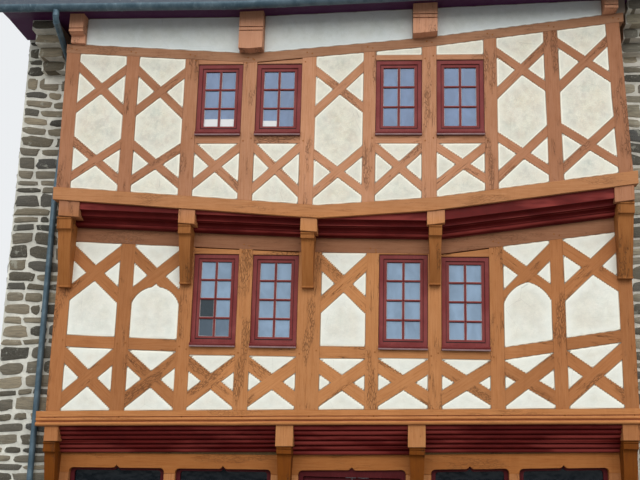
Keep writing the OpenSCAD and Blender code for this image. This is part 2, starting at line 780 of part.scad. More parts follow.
module second_windows()
  for (i = window_bays) {
    $l = edge(second_post_x, second_post_w, i, 1);
    $r = edge(second_post_x, second_post_w, i + 1, -1);
    $top = second_window_top(i);
    children();
  }

module second_floor_window_frames() color(dark_red)
  second_windows() window_frame($l, $r, second_window_sill, $top, second_face);

module second_floor_glass() color(pane)
  second_windows() window_glass($l, $r, second_window_sill, $top, second_face);

// Boarded cheeks that close the ends of the jettied storeys back to the stone
module cheek(side, face_y, low, high, x_low, x_high) {
  z0 = at(low, side * x_low);
  z1 = at(high, side * x_high);
  upright(face_y + timber_depth, ground_face - face_y - timber_depth)
    intersection() {
      polygon(band(low, high));
      polygon([for (p = [[x_low, z0 - 50], [x_low - 70, z0 - 50], [x_high - 70, z1 + 50], [x_high, z1 + 50]])
        [side * p[0], p[1]]]);
    }
}

module jetty_cheeks() color(timber)
  for (side = [-1, 1]) {
    cheek(side, first_face, first_sill_low_line, first_plate_top_line, 4050, 4050);
    cheek(side, second_face, second_sill_low_line, raised(soffit_line, 24), 4045, side > 0 ? 3930 : 4045);
  }

// Roof space

// Tie beams as [centre, width, foot of the upper block, reach of the lower block,
// centre of the beam behind]
ties = [[-3941, 212, 8377, 60, -3840], [-1332, 350, 8369, 188, -1332],
  [1190, 347, 8539, 188, 1190], [3817, 190, 8651, 188, 3700]];
tie_reach = 190;
tie_width = 260;
tie_height = 300;
groove = 14;
lip = 43;

// Side outline of a tie beam's head: upper block, lip between two grooves, lower block
function tie_points(foot, lower) = let (y = second_face, r = tie_reach, z = foot - 2 * groove - lip)
  [[y + timber_depth, 7000], [y - lower, 7000], [y - lower, z], [y - r + 40, z],
    [y - r + 40, z + groove], [y - r, z + groove], [y - r, z + groove + lip],
    [y - r + 40, z + groove + lip], [y - r + 40, foot], [y - r, foot], [y - r, 9500],
    [y + timber_depth, 9500]];

module tie_beams() color(timber) {
  intersection() {
    for (t = ties) along_x(t[0] - t[1] / 2, t[0] + t[1] / 2) polygon(tie_points(t[2], t[3]));
    upright(second_face - 300, 600)
      polygon(band(second_plate_top_line, [[-4300, 9500], [4300, 9500]]));
    eaves_run(-4200, 4200, [[second_face - 300, -2000], [second_face + 300, -2000],
      [second_face + 300, soffit_in - 1], [second_face, soffit_in - 1], [eaves_y + 24, -1],
      [second_face - 300, -1]]);
  }
  for (t = ties)
    translate([t[4] - tie_width / 2, second_face + timber_depth,
        at(attic_low_line, t[4] - tie_width / 2) - tie_height])
      cube([tie_width, inner_rear - second_face - timber_depth, tie_height]);
}

module attic_floor() color(timber) {
  upright(second_face + timber_depth, ground_face - second_face - timber_depth)
    span(-3960, 3840, attic_low_line, raised(attic_low_line, 60));
  upright(ground_face, inner_rear - ground_face)
    span(-half_width, half_width, attic_low_line, raised(attic_low_line, 60));
}

module eaves_plaster() color(plaster)
  upright(second_face + plaster_setback, timber_depth - plaster_setback) difference() {
    span(-4050, 4050, second_plate_top_line, lowered(soffit_line, 1));
    for (t = ties) translate([t[0] - t[1] / 2, 7000]) square([t[1], 3000]);
  }

// Roof cross-section in Y and height over the eaves: foot, break and ridge of the underside
foot_run = 1250;
foot_lift = 40;
break_lift = foot_lift + foot_run * tan(foot_pitch);
front_foot = [eaves_y, foot_lift];
rear_foot = [rear_eaves_y, foot_lift];
front_break = [eaves_y + foot_run, break_lift];
rear_break = [rear_eaves_y - foot_run, break_lift];
ridge_y = (front_break[0] + rear_break[0]) / 2;
ridge_lift = break_lift + (ridge_y - front_break[0]) * tan(roof_pitch);

// Height of the roof underside over a point of the plan
function roof_under_at(y) =
  lookup(y, [front_foot, front_break, [ridge_y, ridge_lift], rear_break, rear_foot]);

// Line of one slope moved out square to itself by d, with its eaves cut nearly upright
function slope_line(e, b, d) =
  let (s = b[0] > e[0] ? 1 : -1, mid = (roof_pitch + foot_pitch) / 2, half = (roof_pitch - foot_pitch) / 2)
  [[e[0] - s * 0.4 * d * sin(foot_pitch), e[1] + d * (1 - 0.4 * pow(sin(foot_pitch), 2)) / cos(foot_pitch)],
    [b[0] - s * d * sin(mid) / cos(half), b[1] + d * cos(mid) / cos(half)],
    [ridge_y, ridge_lift + d / cos(roof_pitch)]];

module roof_slope(e, b)
  eaves_run(-roof_end, roof_end, band(slope_line(e, b, 0), slope_line(e, b, roof_thickness)), paired = true);

module front_roof() color(slate) roof_slope(front_foot, front_break);
module rear_roof() color(slate) roof_slope(rear_foot, rear_break);

module ridge() color(slate)
  let (top = ridge_lift + roof_thickness / cos(roof_pitch) + roof_seat, fall = tan(roof_pitch))
  eaves_run(-roof_end, roof_end, paired = true, outline = band(
    [for (d = [-150, -24, 0, 24, 150]) [ridge_y + d, top - abs(d) * fall]],
    [[ridge_y - 150, top - 150 * fall + 38], [ridge_y - 24, top + 30], [ridge_y, top + 42],
      [ridge_y + 24, top + 30], [ridge_y + 150, top - 150 * fall + 38]]));

// Stone walls rise into the roof, so their tops follow the climbing eaves
module under_roof(x0, x1, y0) {
  ys = concat([y0], [for (y = [front_break[0], ridge_y, rear_break[0]]) if (y > y0) y], [rear_face]);
  intersection() {
    eaves_run(x0, x1, paired = true, outline = band([for (y = ys) [y, -9200]],
      [for (y = ys) [y, roof_under_at(y) - roof_seat]]));
    translate([x0, -6000, 0]) cube([x1 - x0, 12000, 14000]);
  }
}

// Courses of long stones that step out of a gable to carry its eaves, the top one the furthest
module gable_head(x0, x1)
  for (i = [0 : head_courses - 1])
    let (y0 = second_face + head_setback + i * head_step,
      low = eaves_height + soffit_in - 1 - (i + 1) * head_course)
      upright(y0, ground_face + 10 - y0)
        polygon([[x0, low + eaves_lift(x0)], [x1, low + eaves_lift(x1)],
          [x1, low + head_course + eaves_lift(x1)], [x0, low + head_course + eaves_lift(x0)]]);

// The left head stops short of the downpipe behind the corner post
module gable_walls() color(stone) {
  under_roof(-half_width - gable_thickness, -half_width, ground_face);
  under_roof(half_width, half_width + gable_thickness, ground_face);
  gable_head(-half_width - head_width, -half_width - 225);
  gable_head(half_width, half_width + head_width);
}

module rear_wall() color(stone)
  difference() {
    under_roof(-half_width, half_width, inner_rear);
    for (x = rear_window_x) for (z = rear_levels)
      translate([x - rear_window_w / 2, inner_rear - 10, z[0]])
        cube([rear_window_w, rear_thickness + 20, z[1] - z[0]]);
  }

module rear_window_frames() color(dark_red)
  for (x = rear_window_x) for (z = rear_levels)
    rotate([0, 0, 180])
      window_frame(-x - rear_window_w / 2, -x + rear_window_w / 2, z[0], z[1], -rear_face + 90);

module rear_glass() color(pane)
  for (x = rear_window_x) for (z = rear_levels)
    rotate([0, 0, 180])
      window_glass(-x - rear_window_w / 2, -x + rear_window_w / 2, z[0], z[1], -rear_face + 90);

// Fascia and soffit boards at both eaves; past the timber front they reach the stone, and
// an end board closes the eaves at each verge
module eaves_boards() color(dark_red) {
  x1 = roof_end - 10;
  for (s = [[-x1, -x1 + 24], [x1 - 24, x1]]) {
    eaves_run(s[0], s[1], [[eaves_y + 20, 20], [second_face, soffit_in + 10],
      [ground_face - 1, soffit_in + 10], [ground_face - 1, roof_under_at(ground_face - 1) - 1],
      [eaves_y + 20, foot_lift + 10]]);
    eaves_run(s[0], s[1], [[rear_eaves_y - 20, 20], [rear_eaves_y - 20, foot_lift + 10],
      [rear_face + 1, roof_under_at(rear_face + 1) - 1], [rear_face + 1, soffit_in + 10]]);
  }
  eaves_run(-x1, x1, [[eaves_y, -20], [eaves_y + 24, -20], [eaves_y + 24, 0], [second_face, soffit_in],
    [second_face + 60, soffit_in], [second_face + 60, soffit_in + 24], [second_face, soffit_in + 24],
    [eaves_y + 24, 24], [eaves_y + 24, foot_lift + 14], [eaves_y, foot_lift - 1]]);
  for (s = [[-x1, -jetty_half - 15], [jetty_half + 15, x1]])
    eaves_run(s[0], s[1], [[second_face + 50, soffit_in], [ground_face - 1, soffit_in],
      [ground_face - 1, soffit_in + 24], [second_face + 50, soffit_in + 24]]);
  eaves_run(-x1, x1, [[rear_eaves_y, -20], [rear_eaves_y, foot_lift - 1],
    [rear_eaves_y - 24, foot_lift + 14], [rear_eaves_y - 24, 24], [rear_face + 1, soffit_in + 24],
    [rear_face + 1, soffit_in], [rear_eaves_y - 24, 0], [rear_eaves_y - 24, -20]]);
}

gutter_wall = 5;
gutter_end = roof_end + 50;
// Rim of the gutters against the eaves height
gutter_lift = -2;

// Level and climbing length of a gutter, from x0 to x1, with a small gap at their seam
module gutter_run(x0, x1) {
  if (x0 < eaves_knot)
    translate([0, 0, eaves_height]) along_x(x0, min(x1, eaves_knot - 1)) children();
  if (x1 > eaves_knot)
    translate([eaves_knot, 0, eaves_height]) rotate([0, -eaves_tilt, 0])
      along_x((max(x0, eaves_knot + 4) - eaves_knot) / cos(eaves_tilt), (x1 - eaves_knot) / cos(eaves_tilt))
        children();
}

// Half round gutter with closed ends and a hole over its downpipe
module gutter(y, outlet_x) {
  difference() {
    gutter_run(-gutter_end, gutter_end) translate([y, gutter_lift]) difference() {
      circle(r = gutter_r, $fn = 32);
      circle(r = gutter_r - gutter_wall, $fn = 32);
      translate([-100, 0]) square([200, 100]);
    }
    translate([outlet_x, y, gutter_low(outlet_x) - 50]) cylinder(r = pipe_r + 0.5, h = 100, $fn = 32);
  }
  for (s = [[-gutter_end, -gutter_end + 4], [gutter_end - 4, gutter_end]])
    gutter_run(s[0], s[1]) translate([y, gutter_lift]) intersection() {
      circle(r = gutter_r - gutter_wall + 1, $fn = 32);
      translate([-100, -100]) square([200, 100]);
    }
}

function gutter_low(x) = eaves_height + eaves_lift(x) + gutter_lift - gutter_r;

module gutters() color(zinc) {
  gutter(eaves_y - gutter_r, front_outlet_x);
  gutter(rear_eaves_y + gutter_r, rear_pipe_x);
}

// Downpipes: outlet, place behind the front post, and the lower length on the wall
front_outlet_x = -4158;
front_pipe_x = [-4255, -4352];
front_pipe_bend = 5950;
rear_pipe_x = 4350;
bend_radius = 110;
collar_length = 70;
collar_lip = 4;

module collar()
  translate([0, 0, -collar_length / 2]) cylinder(r = pipe_r + collar_lip, h = collar_length, $fn = 32);

// Bend of a pipe in the upright plane, from one angle round by the turn
module pipe_bend(centre, from, turn)
  translate([centre[0], 0, centre[1]]) rotate([90, 0, 0]) rotate([0, 0, from])
    rotate_extrude(angle = turn, $fn = 48) translate([bend_radius, 0]) circle(r = pipe_r, $fn = 24);

// Swan neck from a gutter outlet back to the wall: straight, bend, slant, bend
module swan_neck(outlet, wall, top, drop) {
  run = norm(wall - outlet);
  lean = atan(run / drop);
  t = bend_radius * tan(lean / 2);
  z1 = top - 130;
  z2 = z1 - drop;
  gap = 5;
  along = [sin(lean), -cos(lean)];
  p = [0, z1] + (t + gap) * along;
  slant = norm([run, drop]) - 2 * t - 2 * gap;
  translate([outlet[0], outlet[1], 0])
    rotate([0, 0, atan2(wall[1] - outlet[1], wall[0] - outlet[0])]) {
      translate([0, 0, z1 + t + gap]) cylinder(r = pipe_r, h = top - z1 - t - gap, $fn = 32);
      pipe_bend([bend_radius, z1 + t], 180, lean);
      translate([p[0], 0, p[1]]) rotate([0, 180 - lean, 0]) cylinder(r = pipe_r, h = slant, $fn = 32);
      pipe_bend([run - bend_radius, z2 - t], 0, lean);
      translate([0, 0, z1 + t]) collar();
      translate([t * along[0], 0, z1 + t * along[1]]) rotate([0, 180 - lean, 0]) collar();
      translate([run - t * along[0], 0, z2 - t * along[1]]) rotate([0, 180 - lean, 0]) collar();
      translate([run, 0, z2 - t]) collar();
    }
}

// Height at which a swan neck reaches the wall
function neck_foot(outlet, wall, top, drop) =
  top - 130 - drop - bend_radius * tan(atan(norm(wall - outlet) / drop) / 2);

// Straight pipe down the wall from one point to another, with a collar at its top
module wall_pipe(p, q) {
  d = p - q;
  translate(q) rotate([0, atan(d[0] / d[2]), 0]) {
    cylinder(r = pipe_r, h = norm(d), $fn = 32);
    translate([0, 0, norm(d)]) collar();
  }
}

module downpipes() color(zinc) {
  front_out = [front_outlet_x, eaves_y - gutter_r];
  front_wall = [front_pipe_x[0], ground_face - pipe_stand];
  front_top = gutter_low(front_outlet_x) + 2;
  swan_neck(front_out, front_wall, front_top, 330);
  upper = [front_wall[0], front_wall[1], neck_foot(front_out, front_wall, front_top, 330) - 5];
  middle = [front_pipe_x[1], front_wall[1], front_pipe_bend];
  wall_pipe(upper, middle);
  wall_pipe(middle, [middle[0], middle[1], shoe_z]);
  rear_out = [rear_pipe_x, rear_eaves_y + gutter_r];
  rear_back = [rear_pipe_x, rear_face + pipe_stand];
  rear_top = gutter_low(rear_pipe_x) + 2;
  swan_neck(rear_out, rear_back, rear_top, 340);
  rear_upper = [rear_pipe_x, rear_back[1], neck_foot(rear_out, rear_back, rear_top, 340) - 5];
  wall_pipe(rear_upper, [rear_pipe_x, rear_back[1], shoe_z]);
}

ground_floor();
front_plinth();
ground_posts();
ground_beam();
shop_window_frames();
shop_glass();
door_frame();
left_door_leaf();
right_door_leaf();
consoles();
joist_ends();
jetty_mouldings();
first_floor_deck();
first_floor_sill();
first_floor_posts();
first_floor_rails();
first_floor_braces();
first_floor_infill();
first_floor_plate();
first_floor_window_frames();
first_floor_glass();
second_floor_deck();
second_floor_sill();
second_floor_posts();
second_floor_rails();
second_floor_braces();
second_floor_infill();
second_floor_plate();
second_floor_window_frames();
second_floor_glass();
jetty_cheeks();
tie_beams();
attic_floor();
eaves_plaster();
eaves_boards();
gutters();
downpipes();
gable_walls();
rear_wall();
rear_window_frames();
rear_glass();
front_roof();
rear_roof();
ridge();
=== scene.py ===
"""Dresses the half timbered house: limewashed panels, painted oak, rubble stone, slates and windows."""
import logging
import math
from dataclasses import dataclass, field
from enum import Enum
from functools import cache
from typing import ClassVar

import bmesh
import bpy
import numpy as np
from mathutils import Matrix, Vector


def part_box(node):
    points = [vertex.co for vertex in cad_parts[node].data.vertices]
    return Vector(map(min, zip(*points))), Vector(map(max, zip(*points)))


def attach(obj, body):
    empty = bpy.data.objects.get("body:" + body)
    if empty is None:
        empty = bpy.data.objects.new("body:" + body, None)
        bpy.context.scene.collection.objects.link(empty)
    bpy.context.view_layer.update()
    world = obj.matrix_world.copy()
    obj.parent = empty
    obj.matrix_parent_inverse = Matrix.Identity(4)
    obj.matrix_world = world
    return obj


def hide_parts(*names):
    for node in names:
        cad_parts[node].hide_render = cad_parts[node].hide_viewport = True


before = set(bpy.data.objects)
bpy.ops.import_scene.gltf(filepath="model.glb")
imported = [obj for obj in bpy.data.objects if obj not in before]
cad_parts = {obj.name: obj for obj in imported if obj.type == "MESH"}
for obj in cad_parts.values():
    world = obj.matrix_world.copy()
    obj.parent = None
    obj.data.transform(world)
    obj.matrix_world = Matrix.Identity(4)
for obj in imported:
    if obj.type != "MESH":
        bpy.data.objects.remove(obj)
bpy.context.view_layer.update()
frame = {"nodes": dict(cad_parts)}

log = logging.getLogger("house")
Colour = tuple[float, float, float]
Socket = bpy.types.NodeSocket
Array = np.ndarray
HOUSE = "house"
ALONG = np.array([1.0, 0.0, 0.0])
BACK = np.array([0.0, 1.0, 0.0])
UP = np.array([0.0, 0.0, 1.0])
# The eaves are level from the left as far as the knot, and climb by the slope after it
EAVES_KNOT = -1.5
EAVES_SLOPE = 0.0385


class Slot(Enum):
    """Material slots of the record."""

    TIMBER = "timber"
    PLASTER = "plaster"
    RED = "dark_red"
    STONE = "stone"
    SLATE = "slate"
    ZINC = "zinc"
    GLASS = "glass"


class Grain(Enum):
    """Which way the fibres of a timber run."""

    ALONG_FRONT = (1.0, 0.0, 0.0)
    UPRIGHT = (0.0, 0.0, 1.0)
    INTO_HOUSE = (0.0, 1.0, 0.0)
    CROSSED = (0.7, 0.0, 0.7)


# Shader building


class Tree:
    """Adds nodes to one shader tree and links them."""

    def __init__(self, tree: bpy.types.NodeTree) -> None:
        """Starts on the node tree of a material, world or group."""
        self.tree = tree

    def add(self, kind: str, inputs: dict | None = None, **settings: object) -> bpy.types.Node:
        """Adds one node.

        Args:
            kind: Blender's type name of the node.
            inputs: Values or sockets for its inputs.
            settings: Its own properties.

        Returns:
            The new node.
        """
        node = self.tree.nodes.new(kind)
        for name, value in settings.items():
            setattr(node, name, value)
        self.fill(node, inputs or {})
        return node

    def fill(self, node: bpy.types.Node, inputs: dict) -> None:
        """Feeds values or sockets to inputs of a node, by their names or numbers."""
        for name, value in inputs.items():
            self.feed(node.inputs[name], value)

    def feed(self, socket: Socket, value: object) -> None:
        """Links a socket into an input, or sets the input's own value.

        Args:
            socket: The input.
            value: Another node's output, a number or a colour.
        """
        if isinstance(value, Socket):
            self.tree.links.new(value, socket)
        elif isinstance(value, tuple) and len(value) == 3 and socket.type == "RGBA":
            socket.default_value = (*value, 1.0)
        else:
            socket.default_value = value

    def maths(self, operation: str, a: object, b: object = 0.0, clamp: bool = False) -> Socket:
        """Works out one sum on two numbers or sockets, and may keep it between 0 and 1."""
        node = self.add("ShaderNodeMath", {0: a, 1: b}, operation=operation, use_clamp=clamp)
        return node.outputs[0]

    def times(self, a: object, b: object) -> Socket:
        """Multiplies two numbers or sockets."""
        return self.maths("MULTIPLY", a, b)

    def linear(self, value: Socket, factor: float, offset: float) -> Socket:
        """Multiplies a value by a factor and adds an offset."""
        inputs = {0: value, 1: factor, 2: offset}
        return self.add("ShaderNodeMath", inputs, operation="MULTIPLY_ADD").outputs[0]

    def fade(self, value: Socket, low: float, high: float, start: float = 0.0, end: float = 1.0) -> Socket:
        """Maps a value smoothly from low..high to start..end and clamps it."""
        inputs = {0: value, 1: low, 2: high, 3: start, 4: end}
        return self.add("ShaderNodeMapRange", inputs, interpolation_type="SMOOTHSTEP").outputs[0]

    def stretched(self, vector: Socket, scale: Colour, shift: Colour = (0.0, 0.0, 0.0)) -> Socket:
        """Scales a vector along each axis, then moves it."""
        node = self.add("ShaderNodeMapping", {"Vector": vector, "Scale": scale, "Location": shift})
        return node.outputs[0]

    def noise(self, vector: Socket, scale: object, detail: float = 4.0, rough: float = 0.55,
              warp: float = 0.0) -> Socket:
        """Adds a noise texture.

        Args:
            vector: Where it is read.
            scale: Blotches a metre, as a number, a socket or one number for each axis.
            detail: Octaves.
            rough: Weight of the finer octaves.
            warp: Distortion.

        Returns:
            The noise value, about 0 to 1.
        """
        if isinstance(scale, tuple):
            vector, scale = self.stretched(vector, scale), 1.0
        inputs = {"Vector": vector, "Scale": scale, "Detail": detail, "Roughness": rough, "Distortion": warp}
        return self.add("ShaderNodeTexNoise", inputs).outputs["Fac"]

    def borders(self, vector: Socket, scale: float) -> Socket:
        """Measures the distance to the borders of random cells, of which scale lie in each metre."""
        inputs = {"Vector": vector, "Scale": scale}
        return self.add("ShaderNodeTexVoronoi", inputs, feature="DISTANCE_TO_EDGE").outputs["Distance"]

    def blend(self, share: object, a: object, b: object, mode: str = "MIX") -> Socket:
        """Mixes two colours.

        Args:
            share: How much of b shows.
            a: First colour.
            b: Second colour.
            mode: Blend mode.

        Returns:
            The mixed colour.
        """
        node = self.add("ShaderNodeMix", data_type="RGBA", blend_type=mode)
        self.feed(node.inputs[0], share)
        self.feed(node.inputs[6], a)
        self.feed(node.inputs[7], b)
        return node.outputs[2]

    def cover(self, base: object, colour: Colour, mask: Socket, amount: object) -> Socket:
        """Lays a colour over a base where a mask is high. The amount is what shows where the mask is 1."""
        return self.blend(self.times(mask, amount), base, colour)

    def tinted(self, base: Socket, tint: object, share: object = 1.0) -> Socket:
        """Multiplies a colour by a tint, as far as the share says."""
        return self.blend(share, base, self.blend(1.0, base, tint, "MULTIPLY"))

    def toned(self, tones: tuple[Colour, ...]) -> Socket:
        """Turns the tone kept on the points into a colour, by a ramp of even steps.

        Args:
            tones: The colours for tones from 0 to 1.

        Returns:
            The colour.
        """
        ramp = self.add("ShaderNodeValToRGB", {0: self.attribute("tone")})
        elements = ramp.color_ramp.elements
        while len(elements) < len(tones):
            elements.new(0.5)
        for step, (element, colour) in enumerate(zip(elements, tones)):
            element.position = step / (len(tones) - 1)
            element.color = (*colour, 1.0)
        return ramp.outputs[0]

    def relief(self, height: Socket, depth: float) -> Socket:
        """Turns a height into a bumped normal. A height of 1 measures the depth in metres."""
        return self.add("ShaderNodeBump", {"Height": height, "Distance": depth, "Strength": 1.0}).outputs[0]

    def attribute(self, name: str) -> Socket:
        """Reads a number kept on the mesh's points."""
        return self.add("ShaderNodeAttribute", attribute_name=name).outputs["Fac"]

    def place(self) -> Socket:
        """Reads the Object coordinates, which are metres in the house's own frame."""
        return self.add("ShaderNodeTexCoord").outputs["Object"]

    def axis(self, vector: Socket, name: str) -> Socket:
        """Reads one axis, X, Y or Z, of a vector."""
        return self.add("ShaderNodeSeparateXYZ", {0: vector}).outputs[name]

    def use(self, group: bpy.types.NodeTree, **inputs: object) -> bpy.types.bpy_prop_collection:
        """Places a node group.

        Args:
            group: The group.
            inputs: Its input values by name.

        Returns:
            The outputs of the group's node.
        """
        node = self.add("ShaderNodeGroup")
        node.node_tree = group
        self.fill(node, inputs)
        return node.outputs


def start_group(name: str, inputs: tuple[str, ...],
                outputs: tuple[str, ...]) -> tuple[Tree, dict, bpy.types.Node]:
    """Starts a shader node group. Its input Vector is a vector, and all else is a number.

    Args:
        name: Name of the group.
        inputs: Names of its inputs.
        outputs: Names of its outputs.

    Returns:
        The tree builder, the input sockets by name, and the output node.
    """
    tree = bpy.data.node_groups.new(name, "ShaderNodeTree")
    for direction, labels in (("INPUT", inputs), ("OUTPUT", outputs)):
        for label in labels:
            kind = "NodeSocketVector" if label == "Vector" else "NodeSocketFloat"
            tree.interface.new_socket(name=label, in_out=direction, socket_type=kind)
    kit = Tree(tree)
    source = kit.add("NodeGroupInput")
    return kit, {label: source.outputs[label] for label in inputs}, kit.add("NodeGroupOutput")


@cache
def wood_grain() -> bpy.types.NodeTree:
    """Builds the grain of a sawn and painted timber.

    The fibres run along the first coordinate. Streaks are a noise squeezed across the fibres, drying cracks
    are the places where a second squeezed noise crosses its middle value, and worn stretches of paint are
    crazed along the borders of long cells. The tone moves the pattern, so that no two timbers are alike.

    Returns:
        The group, with inputs Vector, Tone and Cracks, and outputs Streak, Crack and Height.
    """
    kit, given, result = start_group("wood_grain", ("Vector", "Tone", "Cracks"),
                                     ("Streak", "Crack", "Height"))
    tone = given["Tone"]
    offset = kit.add("ShaderNodeCombineXYZ", {0: kit.times(tone, 31.0), 1: kit.times(tone, 17.0)}).outputs[0]
    moved = kit.add("ShaderNodeVectorMath", {0: given["Vector"], 1: offset}, operation="ADD").outputs[0]
    streak = kit.noise(moved, (2.4, 62.0, 20.0), 7.0, 0.66, 0.3)
    fibre = kit.noise(moved, (12.0, 330.0, 60.0), 3.0, 0.6)
    wander = kit.noise(moved, (1.5, 21.0, 6.0), 3.0, 0.5, 0.7)
    line = kit.fade(kit.maths("ABSOLUTE", kit.maths("SUBTRACT", wander, 0.5)), 0.0, 0.012, 1.0, 0.0)
    patch = kit.fade(kit.noise(moved, (1.6, 4.5, 3.0), 2.0), 0.56, 0.64)
    speck = kit.fade(kit.noise(moved, (26.0, 90.0, 60.0), 2.0, 0.6), 0.70, 0.75)
    web = kit.fade(kit.borders(kit.stretched(moved, (13.0, 52.0, 1.0)), 1.0), 0.03, 0.14, 0.72, 0.0)
    worn = kit.noise(kit.stretched(moved, (0.8, 3.4, 1.0), (5.0, 3.0, 0.0)), 1.0, 3.0, 0.6)
    crack = kit.maths("MAXIMUM", kit.times(line, patch), kit.times(speck, 0.7))
    crack = kit.maths("MAXIMUM", crack, kit.times(web, kit.fade(worn, 0.55, 0.62)))
    crack = kit.times(crack, given["Cracks"])
    body = kit.maths("ADD", kit.times(streak, 0.6), kit.times(fibre, 0.3))
    height = kit.maths("SUBTRACT", body, kit.times(crack, 1.5))
    kit.fill(result, {"Streak": streak, "Crack": crack, "Height": height})
    return kit.tree


@cache
def mottle() -> bpy.types.NodeTree:
    """Builds a cloudy stain of two sizes.

    Returns:
        The group, with inputs Vector and Size (blotches a metre), and outputs Cloud and Speck.
    """
    kit, given, result = start_group("mottle", ("Vector", "Size"), ("Cloud", "Speck"))
    broad = kit.noise(given["Vector"], given["Size"], 5.0, 0.6, 0.4)
    fine = kit.noise(given["Vector"], kit.times(given["Size"], 11.0), 4.0, 0.7)
    kit.fill(result, {"Cloud": kit.fade(broad, 0.32, 0.68), "Speck": kit.fade(fine, 0.3, 0.7)})
    return kit.tree


@cache
def rain_streaks() -> bpy.types.NodeTree:
    """Builds narrow upright runs of dirt.

    Returns:
        The group, with inputs Vector and Amount, and output Mask.
    """
    kit, given, result = start_group("rain_streaks", ("Vector", "Amount"), ("Mask",))
    runs = kit.noise(given["Vector"], (14.0, 14.0, 0.7), 5.0, 0.6)
    gaps = kit.noise(given["Vector"], (1.2, 1.2, 0.5), 3.0)
    mask = kit.times(kit.fade(runs, 0.5, 0.72), kit.fade(gaps, 0.42, 0.62))
    kit.fill(result, {"Mask": kit.maths("MULTIPLY", mask, given["Amount"], True)})
    return kit.tree


@dataclass(frozen=True)
class Finish:
    """A named surface finish. Each kind of finish builds its own nodes and has a slot of the record."""

    name: str
    slot: ClassVar[Slot]

    def nodes(self, kit: Tree, surface: bpy.types.Node) -> None:
        """Adds the nodes of this finish."""
        raise NotImplementedError

    @cache
    def material(self) -> bpy.types.Material:
        """Makes the Blender material once."""
        made = bpy.data.materials.new(self.name)
        made.use_nodes = True
        made.node_tree.nodes.clear()
        kit = Tree(made.node_tree)
        surface = kit.add("ShaderNodeBsdfPrincipled")
        kit.add("ShaderNodeOutputMaterial", {"Surface": surface.outputs[0]})
        self.nodes(kit, surface)
        return made


@dataclass(frozen=True)
class TimberPaint(Finish):
    """Thin paint over old oak: grain, cracks, worn and stained patches, painted shade in folds, and a tint
    low on the front.
    """

    slot: ClassVar[Slot] = Slot.TIMBER
    colour: Colour = (0.490, 0.224, 0.110)
    deep: Colour = (0.275, 0.109, 0.047)
    pale: Colour = (0.57, 0.295, 0.177)
    crack: Colour = (0.060, 0.024, 0.011)
    fold_shade: Colour = (0.15, 0.026, 0.018)
    # The low tint is warmer paint on posts and sills, and painted shade on the first floor plate and the
    # lower consoles.
    low_tint: Colour = (1.05, 0.945, 0.655)
    low_fade: tuple[float, float] = (5.4, 5.8)
    outer_tint: Colour = (1.0, 1.0, 1.0)
    outer_fade: tuple[float, float] = (1.0, 3.1)
    cracks: float = 1.0
    folds: float = 0.0
    roughness: float = 0.66
    gloss: float = 0.16
    relief_depth: float = 0.003

    def nodes(self, kit: Tree, surface: bpy.types.Node) -> None:
        """Adds grain along the timber's own UV map and stains in the house's frame."""
        uv = kit.add("ShaderNodeUVMap", uv_map="grain").outputs[0]
        tone = kit.attribute("tone")
        place = kit.place()
        grain = kit.use(wood_grain(), Vector=uv, Tone=tone, Cracks=self.cracks)
        streak = grain["Streak"]
        stain = kit.use(mottle(), Vector=place, Size=1.6)
        scuff = kit.use(mottle(), Vector=kit.stretched(uv, (5.0, 14.0, 1.0)), Size=1.0)
        runs = kit.use(rain_streaks(), Vector=place, Amount=0.5)
        base = kit.blend(kit.fade(streak, 0.38, 0.68, 0.0, 0.7), self.colour, self.pale)
        base = kit.blend(kit.fade(streak, 0.50, 0.32, 0.0, 0.34), base, self.deep)
        base = kit.cover(base, self.deep, stain["Cloud"], 0.26)
        base = kit.cover(base, self.pale, scuff["Cloud"], 0.22)
        base = kit.cover(base, self.deep, scuff["Speck"], 0.16)
        base = kit.cover(base, self.deep, runs["Mask"], 0.4)
        lift = kit.linear(tone, 0.16, 0.92)
        base = kit.tinted(base, kit.add("ShaderNodeCombineColor", {0: lift, 1: lift, 2: lift}).outputs[0])
        low = kit.fade(kit.axis(place, "Z"), *self.low_fade, 1.0, 0.0)
        base = kit.tinted(base, self.low_tint, low)
        outer = kit.fade(kit.maths("ABSOLUTE", kit.axis(place, "X")), *self.outer_fade)
        base = kit.tinted(base, self.outer_tint, outer)
        base = kit.cover(base, self.crack, grain["Crack"], 0.8)
        # Painted shade: points in an inner fold are darkened, as the hollows of a moulding are in shade; on
        # the sill this also stands for dark red paint in its grooves.
        if self.folds > 0.0:
            base = kit.blend(kit.fade(kit.attribute("fold"), 0.2, 0.8, 0.0, self.folds), base, self.fold_shade)
        kit.fill(surface, {"Base Color": base, "Specular IOR Level": self.gloss,
                           "Roughness": kit.fade(streak, 0.3, 0.7, self.roughness, self.roughness + 0.16),
                           "Normal": kit.relief(grain["Height"], self.relief_depth)})


